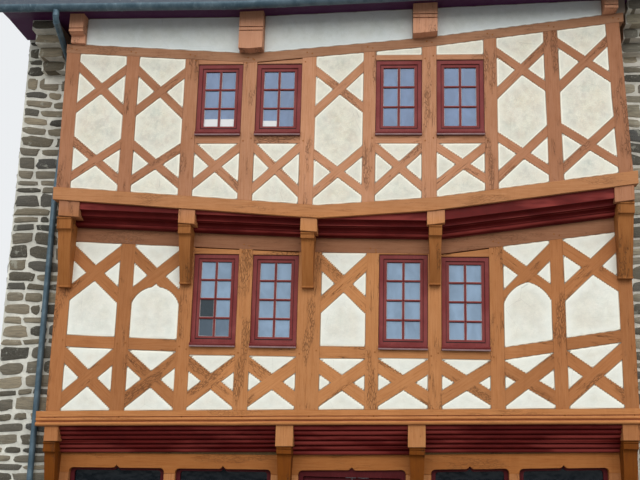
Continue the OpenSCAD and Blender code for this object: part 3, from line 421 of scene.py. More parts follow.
@dataclass(frozen=True)
class Joinery(Finish):
    """Oil paint on planed joinery, with brush marks, faded edges and small chips."""

    slot: ClassVar[Slot] = Slot.RED
    colour: Colour = (0.175, 0.036, 0.042)
    faded: Colour = (0.29, 0.095, 0.105)
    deep: Colour = (0.070, 0.010, 0.012)
    roughness: float = 0.42
    along: Colour = (1.0, 1.0, 0.08)
    brush_marks: float = 160.0
    gloss: float = 0.20
    folds: float = 0.0
    # The fold colour darkens inner folds as painted shade; the worn colour lightens outer ridges, partly as
    # rubbed paint and partly as painted highlights.
    fold_shade: Colour = (0.010, 0.002, 0.003)
    worn: Colour = (0.30, 0.050, 0.040)

    def nodes(self, kit: Tree, surface: bpy.types.Node) -> None:
        """Adds brush marks along the pieces, fading and dirt, painted shade in the folds, and wear with
        painted highlights on the ridges.
        """
        place = kit.place()
        brush = kit.noise(place, tuple(self.brush_marks * a for a in self.along), 4.0, 0.6)
        stain = kit.use(mottle(), Vector=place, Size=2.6)
        chips = kit.fade(kit.noise(place, 46.0, 3.0, 0.7), 0.67, 0.72)
        base = kit.cover(self.colour, self.faded, stain["Cloud"], 0.45)
        base = kit.blend(kit.fade(brush, 0.35, 0.7, 0.35, 0.0), base, self.deep)
        base = kit.cover(base, self.deep, chips, 0.5)
        if self.folds > 0.0:
            # Painted shade: points in an inner fold are darkened.
            fold = kit.attribute("fold")
            base = kit.blend(kit.fade(fold, 0.2, 0.8, 0.0, 0.8 * self.folds), base, self.fold_shade)
            # Painted highlight: patches along the outer ridges are lightened, standing both for rubbed paint
            # and for light catching the ridges.
            patchy = kit.fade(kit.noise(place, (0.9, 1.0, 5.0), 3.0), 0.44, 0.62, 0.1, 0.7)
            base = kit.cover(base, self.worn, kit.fade(fold, -0.9, -0.35, self.folds, 0.0), patchy)
        kit.fill(surface, {"Base Color": base, "Specular IOR Level": self.gloss,
                           "Roughness": kit.fade(brush, 0.3, 0.7, self.roughness, self.roughness + 0.2),
                           "Normal": kit.relief(brush, 0.0009)})


@dataclass(frozen=True)
class Limewash(Finish):
    """Lime plaster with a clean painted rim along the timbers and weathered clouds inside."""

    slot: ClassVar[Slot] = Slot.PLASTER
    colour: Colour = (0.77, 0.76, 0.66)
    grey: Colour = (0.47, 0.50, 0.44)
    warm: Colour = (0.76, 0.66, 0.49)
    blush: Colour = (0.66, 0.55, 0.47)
    rim: Colour = (0.92, 0.89, 0.75)
    hair_cracks: Colour = (0.30, 0.29, 0.25)
    edge_grime_and_shade: Colour = (0.16, 0.10, 0.06)
    rim_width: float = 0.034
    weathering: float = 1.0

    def nodes(self, kit: Tree, surface: bpy.types.Node) -> None:
        """Adds clouds, specks, hair cracks and the rim read from the mesh's distance to the timbers."""
        place = kit.place()
        even = (1.0, 1.0, 1.0)
        cloud = kit.use(mottle(), Vector=place, Size=6.5)
        broad = kit.use(mottle(), Vector=kit.stretched(place, (1.0, 1.0, 0.7), (4.0, 2.0, 7.0)), Size=2.2)
        pink = kit.use(mottle(), Vector=kit.stretched(place, even, (9.0, 5.0, 1.0)), Size=4.1)
        fine = kit.use(mottle(), Vector=kit.stretched(place, even, (2.0, 8.0, 6.0)), Size=14.0)
        distance = kit.attribute("rim")
        aged = kit.fade(distance, 0.02, 0.16, 0.35 * self.weathering, self.weathering)
        base = self.colour
        for mask, colour, share in ((cloud["Cloud"], self.grey, 0.66), (broad["Cloud"], self.warm, 0.55),
                                    (pink["Cloud"], self.blush, 0.36), (fine["Cloud"], self.rim, 0.34),
                                    (cloud["Speck"], self.grey, 0.34)):
            base = kit.cover(base, colour, mask, kit.times(aged, share))
        hair = kit.fade(kit.borders(place, 2.4), 0.0, 0.006, 1.0, 0.0)
        hair = kit.times(hair, kit.fade(kit.noise(place, 1.7, 3.0), 0.52, 0.6))
        base = kit.cover(base, self.hair_cracks, hair, 0.35)
        wavy = kit.linear(kit.noise(place, 18.0, 2.0), 0.02, self.rim_width - 0.01)
        near = kit.maths("SUBTRACT", 1.0, kit.maths("DIVIDE", distance, wavy), True)
        base = kit.blend(kit.fade(near, 0.05, 0.5, 0.0, 0.8), base, self.rim)
        # A dark line where the plaster meets the timbers, partly grime and partly painted shade beside the
        # proud timbers.
        base = kit.blend(kit.fade(distance, 0.005, 0.015, 0.85, 0.0), base, self.edge_grime_and_shade)
        trowel = kit.noise(place, (5.0, 5.0, 9.0), 5.0, 0.6)
        height = kit.maths("ADD", trowel, kit.times(kit.noise(place, 240.0, 2.0), 0.12))
        kit.fill(surface, {"Base Color": base, "Roughness": 0.9, "Specular IOR Level": 0.2,
                           "Normal": kit.relief(height, 0.006)})


@dataclass(frozen=True)
class Masonry(Finish):
    """Rubble stones, each with its own tone, rough and patched with lichen."""

    slot: ClassVar[Slot] = Slot.STONE
    tones: tuple[Colour, ...] = ((0.040, 0.038, 0.031), (0.128, 0.108, 0.074), (0.255, 0.215, 0.145),
                                 (0.056, 0.056, 0.053), (0.350, 0.290, 0.195), (0.140, 0.126, 0.096))
    vein: Colour = (0.05, 0.05, 0.045)
    grains: Colour = (0.33, 0.31, 0.26)
    lichen: Colour = (0.40, 0.40, 0.33)

    def nodes(self, kit: Tree, surface: bpy.types.Node) -> None:
        """Adds the tone of each stone, its bedding veins and its lichen."""
        place = kit.place()
        veins = kit.noise(place, (6.0, 6.0, 40.0), 6.0, 0.65, 0.5)
        grit = kit.noise(place, 85.0, 4.0, 0.7)
        base = kit.blend(kit.fade(veins, 0.35, 0.7, 0.0, 0.45), kit.toned(self.tones), self.vein)
        base = kit.blend(kit.fade(grit, 0.45, 0.75, 0.0, 0.35), base, self.grains)
        base = kit.cover(base, self.lichen, kit.fade(kit.noise(place, 7.0, 6.0, 0.7), 0.6, 0.66), 0.55)
        height = kit.maths("ADD", veins, kit.times(grit, 0.45))
        kit.fill(surface, {"Base Color": base, "Roughness": 0.86, "Specular IOR Level": 0.3,
                           "Normal": kit.relief(height, 0.012)})


@dataclass(frozen=True)
class LimeMortar(Finish):
    """Pale mortar with sand and dark weathered hollows."""

    slot: ClassVar[Slot] = Slot.STONE
    colour: Colour = (0.84, 0.82, 0.72)
    dark: Colour = (0.36, 0.35, 0.30)
    grains: Colour = (0.78, 0.76, 0.68)

    def nodes(self, kit: Tree, surface: bpy.types.Node) -> None:
        """Adds sand grains and weathered patches."""
        place = kit.place()
        stain = kit.use(mottle(), Vector=place, Size=2.0)
        pits = kit.use(mottle(), Vector=kit.stretched(place, (1.0, 1.0, 1.3), (3.0, 6.0, 2.0)), Size=9.0)
        sand = kit.noise(place, 150.0, 3.0, 0.7)
        base = kit.cover(self.colour, self.dark, stain["Cloud"], 0.55)
        base = kit.cover(base, self.dark, pits["Cloud"], 0.45)
        base = kit.blend(kit.fade(sand, 0.4, 0.7, 0.0, 0.3), base, self.grains)
        height = kit.maths("ADD", kit.noise(place, 14.0, 4.0), kit.times(sand, 0.3))
        kit.fill(surface, {"Base Color": base, "Roughness": 0.93, "Normal": kit.relief(height, 0.012)})


@dataclass(frozen=True)
class RivenSlate(Finish):
    """Split slates, each with its own blue grey, faint layers and lichen."""

    slot: ClassVar[Slot] = Slot.SLATE
    tones: tuple[Colour, ...] = ((0.075, 0.095, 0.125), (0.115, 0.140, 0.175), (0.090, 0.105, 0.120),
                                 (0.150, 0.175, 0.205))
    layer: Colour = (0.20, 0.22, 0.24)
    lichen: Colour = (0.36, 0.37, 0.29)

    def nodes(self, kit: Tree, surface: bpy.types.Node) -> None:
        """Adds the tone of each slate, riven layers and lichen spots."""
        place = kit.place()
        layers = kit.noise(place, (9.0, 30.0, 30.0), 6.0, 0.6, 0.8)
        base = kit.blend(kit.fade(layers, 0.4, 0.7, 0.0, 0.4), kit.toned(self.tones), self.layer)
        base = kit.cover(base, self.lichen, kit.fade(kit.noise(place, 11.0, 5.0, 0.7), 0.63, 0.68), 0.5)
        kit.fill(surface, {"Base Color": base, "Roughness": kit.fade(layers, 0.3, 0.7, 0.42, 0.66),
                           "Normal": kit.relief(layers, 0.003)})


@dataclass(frozen=True)
class WeatheredZinc(Finish):
    """Rolled zinc with a dull patina and pale runs."""

    slot: ClassVar[Slot] = Slot.ZINC
    colour: Colour = (0.046, 0.088, 0.118)
    pale: Colour = (0.15, 0.22, 0.265)
    metallic: float = 0.35

    def nodes(self, kit: Tree, surface: bpy.types.Node) -> None:
        """Adds patina clouds and rain runs on a half metallic skin."""
        place = kit.place()
        stain = kit.use(mottle(), Vector=place, Size=5.0)
        runs = kit.use(rain_streaks(), Vector=place, Amount=0.9)
        base = kit.cover(self.colour, self.pale, stain["Cloud"], 0.6)
        kit.fill(surface, {"Base Color": kit.blend(runs["Mask"], base, self.pale), "Metallic": self.metallic,
                           "Roughness": kit.fade(stain["Speck"], 0.0, 1.0, 0.38, 0.6),
                           "Normal": kit.relief(stain["Cloud"], 0.001)})


@dataclass(frozen=True)
class WindowPane(Finish):
    """Old glass with a painted reflection of the pale sky, darker where its tone is low, white where a blind
    hangs.
    """

    slot: ClassVar[Slot] = Slot.GLASS
    sky_reflection: Colour = (0.115, 0.185, 0.325)
    dark: Colour = (0.018, 0.030, 0.036)
    blind: Colour = (0.72, 0.73, 0.72)
    alpha: float = 0.88
    gloss: float = 0.5
    cloud: tuple[float, float] = (0.35, 0.68)
    lift: float = 1.28

    def nodes(self, kit: Tree, surface: bpy.types.Node) -> None:
        """Adds the painted reflection, a soft cloud of sky tones, chosen for each pane by the tone of its
        points.
        """
        place = kit.place()
        tone = kit.attribute("tone")
        # Painted reflection of the sky, laid in the glass's base colour.
        sky = kit.noise(place, (5.0, 5.0, 3.0), 3.0, 0.5, 0.6)
        base = kit.blend(kit.fade(sky, *self.cloud), self.sky_reflection, tuple(self.lift * c for c in self.sky_reflection))
        base = kit.blend(kit.maths("MINIMUM", tone, 1.0), self.dark, base)
        kit.fill(surface, {"Base Color": kit.blend(kit.fade(tone, 1.3, 1.7), base, self.blind),
                           "Roughness": 0.06, "Alpha": self.alpha, "Specular IOR Level": self.gloss,
                           "Normal": kit.relief(kit.noise(place, 6.0, 2.0), 0.004)})


@dataclass(frozen=True)
class PlainPaint(Finish):
    """A painted or bare surface with light dirt, for putty, sill strips, painted shadow strips and ironwork.
    """

    slot: ClassVar[Slot] = Slot.RED
    colour: Colour = (0.5, 0.5, 0.5)
    dirt: Colour = (0.2, 0.2, 0.2)
    roughness: float = 0.6
    metallic: float = 0.0
    size: float = 4.0
    depth: float = 0.0012

    def nodes(self, kit: Tree, surface: bpy.types.Node) -> None:
        """Adds one stain of clouds and specks."""
        stain = kit.use(mottle(), Vector=kit.place(), Size=self.size)
        speck = stain["Speck"]
        base = kit.cover(self.colour, self.dirt, stain["Cloud"], 0.5)
        rough = kit.fade(speck, 0.0, 1.0, self.roughness, min(1.0, self.roughness + 0.15))
        kit.fill(surface, {"Base Color": kit.cover(base, self.dirt, speck, 0.15), "Roughness": rough,
                           "Metallic": self.metallic, "Normal": kit.relief(speck, self.depth)})


LEVEL_MARKS = (0.08, 1.0, 1.0)
OAK = TimberPaint("ochre_oak", outer_tint=(0.77, 0.71, 0.68))
# The sill's folds are darkened as painted shade in the hollows of its moulding, also standing for the dark
# red paint in its grooves.
OAK_SILL = TimberPaint("sill_oak", colour=(0.415, 0.175, 0.068), deep=(0.24, 0.092, 0.028),
                       pale=(0.50, 0.240, 0.112), low_tint=(1.18, 1.08, 0.88), cracks=0.5, folds=0.75)
# Its low tint darkens the first floor plate as painted shade under the jetty.
OAK_PLATE = TimberPaint("plate_oak", colour=(0.370, 0.176, 0.093), deep=(0.19, 0.080, 0.036),
                        pale=(0.44, 0.24, 0.140), low_tint=(0.76, 0.67, 0.62), cracks=0.55)
OAK_GROUND = TimberPaint("beam_oak", colour=(0.395, 0.132, 0.030), deep=(0.22, 0.066, 0.013),
                         pale=(0.47, 0.19, 0.058), low_tint=(1.0, 1.0, 1.0), cracks=0.6)
# Painted light: a paler oak that lifts the tie beam ends out of the shade of the eaves.
OAK_TIE = TimberPaint("tie_oak_painted_light", colour=(0.575, 0.275, 0.155), deep=(0.33, 0.140, 0.072),
                      pale=(0.65, 0.35, 0.225))
# Painted shade: a darker oak for the consoles under the jetties, darker still below 3 m by its low tint; the
# pegs share it.
OAK_SHADE = TimberPaint("sienna_oak_painted_shade", colour=(0.307, 0.106, 0.025), deep=(0.18, 0.056, 0.009),
                        pale=(0.38, 0.155, 0.048), low_tint=(0.61, 0.445, 0.10), low_fade=(3.0, 3.4))
OAK_BARE = TimberPaint("bare_oak", colour=(0.16, 0.11, 0.07), deep=(0.09, 0.06, 0.035),
                       pale=(0.22, 0.16, 0.10))
RED = Joinery("wine_red_joinery", colour=(0.195, 0.026, 0.024), faded=(0.31, 0.078, 0.070),
              deep=(0.070, 0.007, 0.008))
# Painted shade: the mouldings' red is darkened well below the frames' for the shade under the jetties, with
# painted shade in their hollows and painted highlights on their ridges.
RED_LEVEL = Joinery("wine_red_mouldings_painted_shade", colour=(0.092, 0.0045, 0.0040), faded=(0.165, 0.013, 0.011),
                    deep=(0.024, 0.0018, 0.0024), along=LEVEL_MARKS, gloss=0.10, folds=1.0)
RED_SHADE = Joinery("shaded_red_joinery", colour=(0.080, 0.0075, 0.009), faded=(0.13, 0.020, 0.024),
                    deep=(0.026, 0.002, 0.003), gloss=0.10)
SOFFIT = Joinery("plum_boards", colour=(0.078, 0.016, 0.070), faded=(0.115, 0.040, 0.105),
                 deep=(0.034, 0.007, 0.030), along=LEVEL_MARKS, gloss=0.12)
# The second storey's limewash is greyer than the first storey's, partly as weathering and partly as painted
# shade from the eaves.
LIME_LOW = Limewash("pale_limewash", colour=(0.84, 0.845, 0.765), weathering=0.55)
LIME_HIGH = Limewash("weathered_shaded_limewash", weathering=1.45)
LIME_EAVES = Limewash("shaded_limewash", colour=(0.66, 0.705, 0.70), warm=(0.70, 0.70, 0.64),
                      blush=(0.60, 0.60, 0.58), rim=(0.76, 0.79, 0.75), weathering=0.75)
STONE = Masonry("rubble_stone")
# Painted light: the right gable's stones are made paler and cooler, in place of light that the jetty keeps
# off them.
PAINTED_LIGHT_STONE_TINT = (1.45, 1.54, 1.62)
STONE_PAINTED_LIGHT = Masonry("rubble_stone_painted_light", tones=tuple(tuple(c * k for c, k in zip(tone, PAINTED_LIGHT_STONE_TINT))
                                                      for tone in Masonry.tones))
MORTAR = LimeMortar("lime_mortar")
SLATE = RivenSlate("riven_slate")
ZINC = WeatheredZinc("weathered_zinc")
PANE = WindowPane("window_pane")
# The first floor's panes carry a brighter painted reflection of the sky.
LOW_PANE = WindowPane("low_window_pane", sky_reflection=(0.245, 0.345, 0.470), cloud=(0.30, 0.72))
SHOP_PANE = WindowPane("shop_pane", sky_reflection=(0.010, 0.018, 0.026), dark=(0.003, 0.006, 0.009), alpha=0.94,
                       gloss=0.22)
SILL_STRIP = PlainPaint("aged_sill_strip", colour=(0.27, 0.165, 0.165), dirt=(0.13, 0.07, 0.07), size=9.0)
PUTTY = PlainPaint("faded_putty", colour=(0.50, 0.44, 0.42), dirt=(0.24, 0.14, 0.14), size=9.0)
# Painted shadow: a nearly black finish for the flat strips laid in the windows' gaps and under their bars.
SHADOW = PlainPaint("painted_shadow_gap", colour=(0.018, 0.006, 0.006), dirt=(0.030, 0.012, 0.010), roughness=0.9)
IRON = PlainPaint("blackened_iron", colour=(0.035, 0.034, 0.034), dirt=(0.09, 0.06, 0.045), roughness=0.5,
                  metallic=0.6, size=12.0)


# Meshes from arrays


def read(items: bpy.types.bpy_prop_collection, name: str, width: int = 1, kind: type = float) -> Array:
    """Reads one property of every point, edge, corner or face of a mesh.

    Args:
        items: The mesh's points, edges, corners, faces or normals.
        name: Blender's name of the property.
        width: Numbers in each value.
        kind: Either float or int.

    Returns:
        Values as (n,), or as (n, width) where width is more than 1.
    """
    values = np.empty(width * len(items), kind)
    items.foreach_get(name, values)
    return values.reshape(-1, width) if width > 1 else values


def keep_on_points(mesh: bpy.types.Mesh, name: str, values: Array) -> None:
    """Keeps a number on each point of a mesh, for its finish to read."""
    mesh.attributes.new(name, "FLOAT", "POINT").data.foreach_set("value", values.astype(np.float32))


def grid_quads(rows: int, columns: int) -> Array:
    """Joins a grid of points, numbered along its rows, into quads as (n, 4)."""
    index = np.arange(rows * columns).reshape(rows, columns)
    return np.stack([index[:-1, :-1], index[:-1, 1:], index[1:, 1:], index[1:, :-1]], axis=-1).reshape(-1, 4)


def unit(vectors: Array) -> Array:
    """Scales vectors (n, 3) to a length of 1."""
    return vectors / np.maximum(np.linalg.norm(vectors, axis=1, keepdims=True), 1e-6)


def ring_quads(rings: int, sides: int) -> Array:
    """Joins closed rings of points, each to the next, into quads as (n, 4)."""
    index = np.arange(rings * sides).reshape(rings, sides)
    after = np.roll(index, -1, axis=1)
    return np.stack([index[:-1], after[:-1], after[1:], index[1:]], axis=-1).reshape(-1, 4)


@dataclass
class Mesh:
    """Points and faces of one piece, gathered as arrays before Blender gets them."""

    points: list[Array] = field(default_factory=list)
    faces: list[list] = field(default_factory=list)
    tones: list[Array] = field(default_factory=list)
    count: int = 0

    def add(self, points: Array, faces: Array, tone: Array | float = 0.5) -> None:
        """Adds a batch of points with its faces.

        Args:
            points: Points as (..., 3).
            faces: Faces as (m, k), counted from the batch's first point.
            tone: Number for each point, or one for all.
        """
        points = points.reshape(-1, 3)
        self.points.append(points)
        self.faces.append((faces + self.count).tolist())
        self.tones.append(np.broadcast_to(np.asarray(tone, float), (len(points),)))
        self.count += len(points)

    def add_copies(self, points: Array, faces: list[Array], tone: Array | float = 0.5) -> None:
        """Adds many copies of one shape, each with its own points.

        Args:
            points: Points as (copies, n, 3).
            faces: Face arrays of one copy, each (m, k).
            tone: Number for each copy, or one for all.
        """
        copies, size = points.shape[:2]
        self.points.append(points.reshape(-1, 3))
        starts = self.count + size * np.arange(copies)[:, None, None]
        for block in faces:
            self.faces.append((block[None] + starts).reshape(-1, block.shape[1]).tolist())
        self.tones.append(np.repeat(np.broadcast_to(np.asarray(tone, float), (copies,)), size))
        self.count += copies * size

    def build(self, name: str, finish: Finish, body: str = HOUSE, smooth: float | None = 35.0,
              replaces: tuple[str, ...] = (), closed: bool = False) -> bpy.types.Object:
        """Makes the Blender object, dresses it and puts it on its body.

        Args:
            name: Name of the piece.
            finish: Its finish.
            body: The CAD body it rides on.
            smooth: Degrees under which faces are shaded as one, or None for flat.
            replaces: CAD nodes it stands for.
            closed: Turns the faces of closed shapes outwards.

        Returns:
            The new object.
        """
        mesh = bpy.data.meshes.new(name)
        mesh.from_pydata(np.concatenate(self.points), [], [f for block in self.faces for f in block])
        keep_on_points(mesh, "tone", np.concatenate(self.tones))
        piece = settle(mesh, finish, body, smooth, replaces)
        if closed:
            turn_outwards(mesh)
        return piece


def turn_outwards(mesh: bpy.types.Mesh) -> None:
    """Turns all faces of closed shapes outwards."""
    work = bmesh.new()
    work.from_mesh(mesh)
    bmesh.ops.recalc_face_normals(work, faces=work.faces)
    work.to_mesh(mesh)
    work.free()


def settle(mesh: bpy.types.Mesh, finish: Finish, body: str, smooth: float | None,
           replaces: tuple[str, ...]) -> bpy.types.Object:
    """Makes a piece of a mesh, shades it, gives it its finish and puts it on its body.

    Args:
        mesh: The mesh, named as the piece.
        finish: Its finish.
        body: The CAD body it rides on.
        smooth: Angle in degrees under which faces are shaded as one, or None for flat.
        replaces: CAD nodes it stands for.

    Returns:
        The new object.
    """
    piece = bpy.data.objects.new(mesh.name, mesh)
    bpy.context.scene.collection.objects.link(piece)
    mesh.validate()
    mesh.update()
    mesh.polygons.foreach_set("use_smooth", np.full(len(mesh.polygons), smooth is not None))
    if smooth is not None:
        mesh.set_sharp_from_angle(angle=math.radians(smooth))
    mesh.materials.clear()
    mesh.materials.append(finish.material())
    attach(piece, body)
    if replaces:
        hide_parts(*replaces)
    log.info("%s: %d faces", piece.name, len(mesh.polygons))
    return piece


def eaves_lift(x: Array) -> Array:
    """Rise of the old eaves at places along the front: none up to the knot, then an even climb."""
    return EAVES_SLOPE * np.maximum(0.0, np.asarray(x) - EAVES_KNOT)


def node_points(node: str) -> Array:
    """Reads a CAD node's points as (n, 3)."""
    return read(frame["nodes"][node].data.vertices, "co", 3)


def left_end(node: str) -> Array:
    """Reads the cross-section at a node's left end as unique points (n, 2) in Y and Z."""
    points = node_points(node)
    return np.unique(np.round(points[points[:, 0] < points[:, 0].min() + 0.004][:, 1:], 4), axis=0)


def islands(points: Array, edges: Array) -> Array:
    """Numbers the loose parts of a mesh, by passing the lowest point number along its edges until it settles.

    Args:
        points: Points as (n, 3).
        edges: Point pairs as (m, 2).

    Returns:
        A part number for each point, from 0 up.
    """
    same = np.unique(np.round(points, 5), axis=0, return_inverse=True)[1].reshape(-1)
    labels = np.arange(same.max() + 1)
    ends = same[edges]
    while True:
        low = np.minimum(labels[ends[:, 0]], labels[ends[:, 1]])
        before = labels.copy()
        np.minimum.at(labels, ends[:, 0], low)
        np.minimum.at(labels, ends[:, 1], low)
        labels = labels[labels]
        if np.array_equal(before, labels):
            return np.unique(labels, return_inverse=True)[1].reshape(-1)[same]


def mesh_edges(mesh: bpy.types.Mesh) -> Array:
    """Reads a mesh's edges as (m, 2)."""
    return read(mesh.edges, "vertices", 2, int)


def solid_boxes(node: str) -> Array:
    """Measures each solid of a CAD node.

    Args:
        node: Name of the node.

    Returns:
        Boxes as (solids, 2, 3), lowest corner then highest, from left to right and from the ground up.
    """
    points = node_points(node)
    labels = islands(points, mesh_edges(frame["nodes"][node].data))
    solids = [points[labels == number] for number in range(labels.max() + 1)]
    boxes = np.array([[solid.min(0), solid.max(0)] for solid in solids])
    return boxes[np.lexsort((boxes[:, 0, 0], np.round(boxes[:, 0, 2], 1)))]


def ripple(points: Array, size: float, seed: int, rate: float = 9.0, waves: int = 4) -> Array:
    """Smooth wandering offsets: for each axis, the mean of a few sine waves of mixed direction and phase.

    Args:
        points: Points as (n, 3).
        size: Height of the waves in metres.
        seed: Chooses directions and phases.
        rate: Typical turn of the waves, in radians a metre.
        waves: Waves for each axis.

    Returns:
        Offsets as (n, 3).
    """
    rng = np.random.default_rng(seed)
    turns = rng.normal(0.0, rate, (waves, 3, 3))
    phases = rng.uniform(0.0, 2.0 * np.pi, (waves, 3))
    return size * np.sin(np.einsum("nj,wkj->nwk", points, turns) + phases).mean(axis=1)


def prisms(starts: Array, ends: Array, side: Array, profile: Array) -> tuple[Array, list[Array]]:
    """Carries a closed profile from each start to each end.

    A point of the profile (a, b) lies at start + a * side + b * (along x side).

    Args:
        starts: Start points as (n, 3).
        ends: End points as (n, 3).
        side: Direction of the profile's first axis as (3,) or (n, 3).
        profile: Profile points as (k, 2), anticlockwise seen from the end.

    Returns:
        Points as (n, 2k, 3) and the face arrays of one prism.
    """
    starts, ends = np.atleast_2d(starts), np.atleast_2d(ends)
    along = unit(ends - starts)
    side = np.broadcast_to(side, starts.shape)
    up = np.cross(along, side)
    ring = profile[None, :, :1] * side[:, None] + profile[None, :, 1:] * up[:, None]
    turn = np.arange(len(profile))[None]
    points = np.concatenate([starts[:, None] + ring, ends[:, None] + ring], axis=1)
    return points, [ring_quads(2, len(profile)), turn[:, ::-1], turn + len(profile)]


def box_shape(low: Array, high: Array) -> tuple[Array, list[Array]]:
    """Makes a plain box.

    Args:
        low: Lowest corner.
        high: Highest corner.

    Returns:
        Points as (1, 8, 3) and the faces of the box.
    """
    pick = np.array([[0, 0, 0], [1, 0, 0], [1, 1, 0], [0, 1, 0], [0, 0, 1], [1, 0, 1], [1, 1, 1], [0, 1, 1]])
    faces = np.array([[0, 3, 2, 1], [4, 5, 6, 7], [0, 1, 5, 4], [1, 2, 6, 5], [2, 3, 7, 6], [3, 0, 4, 7]])
    return (low + pick * (high - low))[None], [faces]


def rectangle(left: float, low: float, right: float, high: float) -> Array:
    """Corners of a rectangle as (4, 2), from the lower left one round."""
    return np.array([[left, low], [right, low], [right, high], [left, high]])


def ring_profile(radius: float, sides: int) -> Array:
    """Points of a regular ring as (sides, 2): radius times the cosine and sine of equal turns."""
    turn = 2.0 * np.pi * np.arange(sides) / sides
    return radius * np.stack([np.cos(turn), np.sin(turn)], axis=1)


# Pieces cut from the frame's own solids


@dataclass
class WorkedSolid:
    """A CAD node redone with worn arrises, slightly wandering edges and grain along each timber.

    A side wall of a brace is a face whose normal leans out of the front by less than wall_lean, and has a
    product of X and Z parts over brace_slope. A face is end grain where its normal follows the fibres by more
    than end_grain, and such a face is level where its normal points up by more than end_level.
    """

    node: str
    finish: Finish
    grain: Grain = Grain.ALONG_FRONT
    arris: float = 0.006
    wander: float = 0.0022
    ring_gap: float = 0.18
    smooth: float = 32.0
    body: str = HOUSE
    weld_gap: float = 2e-5
    flat_angle: float = 0.4
    wall_lean: float = 0.1
    brace_slope: float = 0.2
    least_wall: float = 0.012
    brace_reach: float = 1.1
    same_wall: float = 0.995
    wall_slack: float = 0.004
    end_grain: float = 0.9
    end_level: float = 0.7
    grain_shift: float = 19.0
    part_shift: float = 0.7
    depth_wander: float = 0.3
    full_fold: float = 1.4
    sharp_angle: float = 38.0

    def weld(self) -> bmesh.types.BMesh:
        """Copies the node's loose triangles, merges their points and joins flat faces.

        Returns:
            The welded copy.
        """
        work = bmesh.new()
        work.from_mesh(frame["nodes"][self.node].data)
        bmesh.ops.remove_doubles(work, verts=work.verts, dist=self.weld_gap)
        bmesh.ops.dissolve_limit(work, angle_limit=math.radians(self.flat_angle), verts=work.verts,
                                 edges=work.edges)
        return work

    def cut(self, work: bmesh.types.BMesh, geometry: list, place: Vector, normal: Vector) -> None:
        """Divides points, edges and faces along a plane and keeps both halves."""
        bmesh.ops.bisect_plane(work, geom=geometry, dist=1e-5, plane_co=place, plane_no=normal)

    def ring_cuts(self, work: bmesh.types.BMesh) -> None:
        """Cuts rings across the timbers so that their edges can wander.

        Args:
            work: The mesh.
        """
        axis = Vector(ALONG) if self.grain is Grain.CROSSED else Vector(self.grain.value)
        low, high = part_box(self.node)
        for step in np.arange(low.dot(axis) + 0.5 * self.ring_gap, high.dot(axis), self.ring_gap):
            self.cut(work, [*work.verts, *work.edges, *work.faces], axis * float(step), axis)

    def strip_cuts(self, work: bmesh.types.BMesh) -> None:
        """Divides the front of each cross along its side walls, so that each brace has its own faces.

        Args:
            work: The mesh.
        """
        planes = [(face.calc_center_median(), face.normal.copy()) for face in work.faces
                  if abs(face.normal.y) < self.wall_lean
                  and abs(face.normal.x * face.normal.z) > self.brace_slope
                  and face.calc_area() > self.least_wall]
        for place, normal in planes:
            near = [face for face in work.faces if abs(face.normal.y) > 0.9
                    and (face.calc_center_median() - place).length < self.brace_reach]
            parts = dict.fromkeys(part for face in near for part in (face, *face.edges, *face.verts))
            self.cut(work, list(parts), place, normal)

    def fibre_directions(self, mesh: bpy.types.Mesh, labels: Array) -> Array:
        """Finds the direction of the fibres on each face.

        Crossed braces take the slope of the nearest long side wall of their own cross: the rising brace where
        a face lies between its two walls, or else the falling one.

        Args:
            mesh: The finished mesh.
            labels: Part number of each point.

        Returns:
            A unit direction for each face, as (faces, 3).
        """
        count = len(mesh.polygons)
        if self.grain is not Grain.CROSSED:
            return np.tile(self.grain.value, (count, 1))
        normals = read(mesh.polygons, "normal", 3)
        centres = read(mesh.polygons, "center", 3)
        areas = read(mesh.polygons, "area")
        corner = read(mesh.loops, "vertex_index", 1, int)
        part = labels[corner[read(mesh.polygons, "loop_start", 1, int)]]
        slopes = normals[:, 0] * normals[:, 2]
        wall = (np.abs(normals[:, 1]) < self.wall_lean) & (np.abs(slopes) > self.brace_slope)
        result = np.tile(ALONG, (count, 1))
        for index in range(labels.max() + 1):
            own = part == index
            for rising in (False, True):
                walls = own & wall & ((slopes < 0) == rising)
                if not walls.any():
                    continue
                lead = normals[walls][np.argmax(areas[walls])]
                reach = centres @ lead
                offsets = reach[walls & (np.abs(normals @ lead) > self.same_wall)]
                between = ((reach >= offsets.min() - self.wall_slack)
                           & (reach <= offsets.max() + self.wall_slack))
                result[own & between] = (lead[2], 0.0, -lead[0])
        return result

    def lay_grain(self, mesh: bpy.types.Mesh, labels: Array) -> None:
        """Writes the UV map in metres along and across the fibres, and a tone for each timber.

        Args:
            mesh: The mesh.
            labels: Part number of each point.
        """
        tones = np.random.default_rng(len(self.node)).uniform(0.0, 1.0, labels.max() + 1)
        keep_on_points(mesh, "tone", tones[labels])
        along = self.fibre_directions(mesh, labels)
        normals = read(mesh.polygons, "normal", 3)
        corner = read(mesh.loops, "vertex_index", 1, int)
        at = read(mesh.vertices, "co", 3)[corner]
        face = np.repeat(np.arange(len(normals)), read(mesh.polygons, "loop_total", 1, int))
        end_grain = np.abs((normals * along).sum(1)) > self.end_grain
        level = np.abs(normals[:, 2]) > self.end_level
        along = np.where((end_grain & ~level)[:, None], UP, along)
        along = np.where((end_grain & level)[:, None], ALONG, along)
        across = unit(np.cross(normals, along))
        uv = np.stack([(at * along[face]).sum(1), (at * across[face]).sum(1)], axis=1)
        uv += (tones[labels[corner]] * self.grain_shift)[:, None]
        mesh.uv_layers.new(name="grain").data.foreach_set("uv", uv.astype(np.float32).reshape(-1))

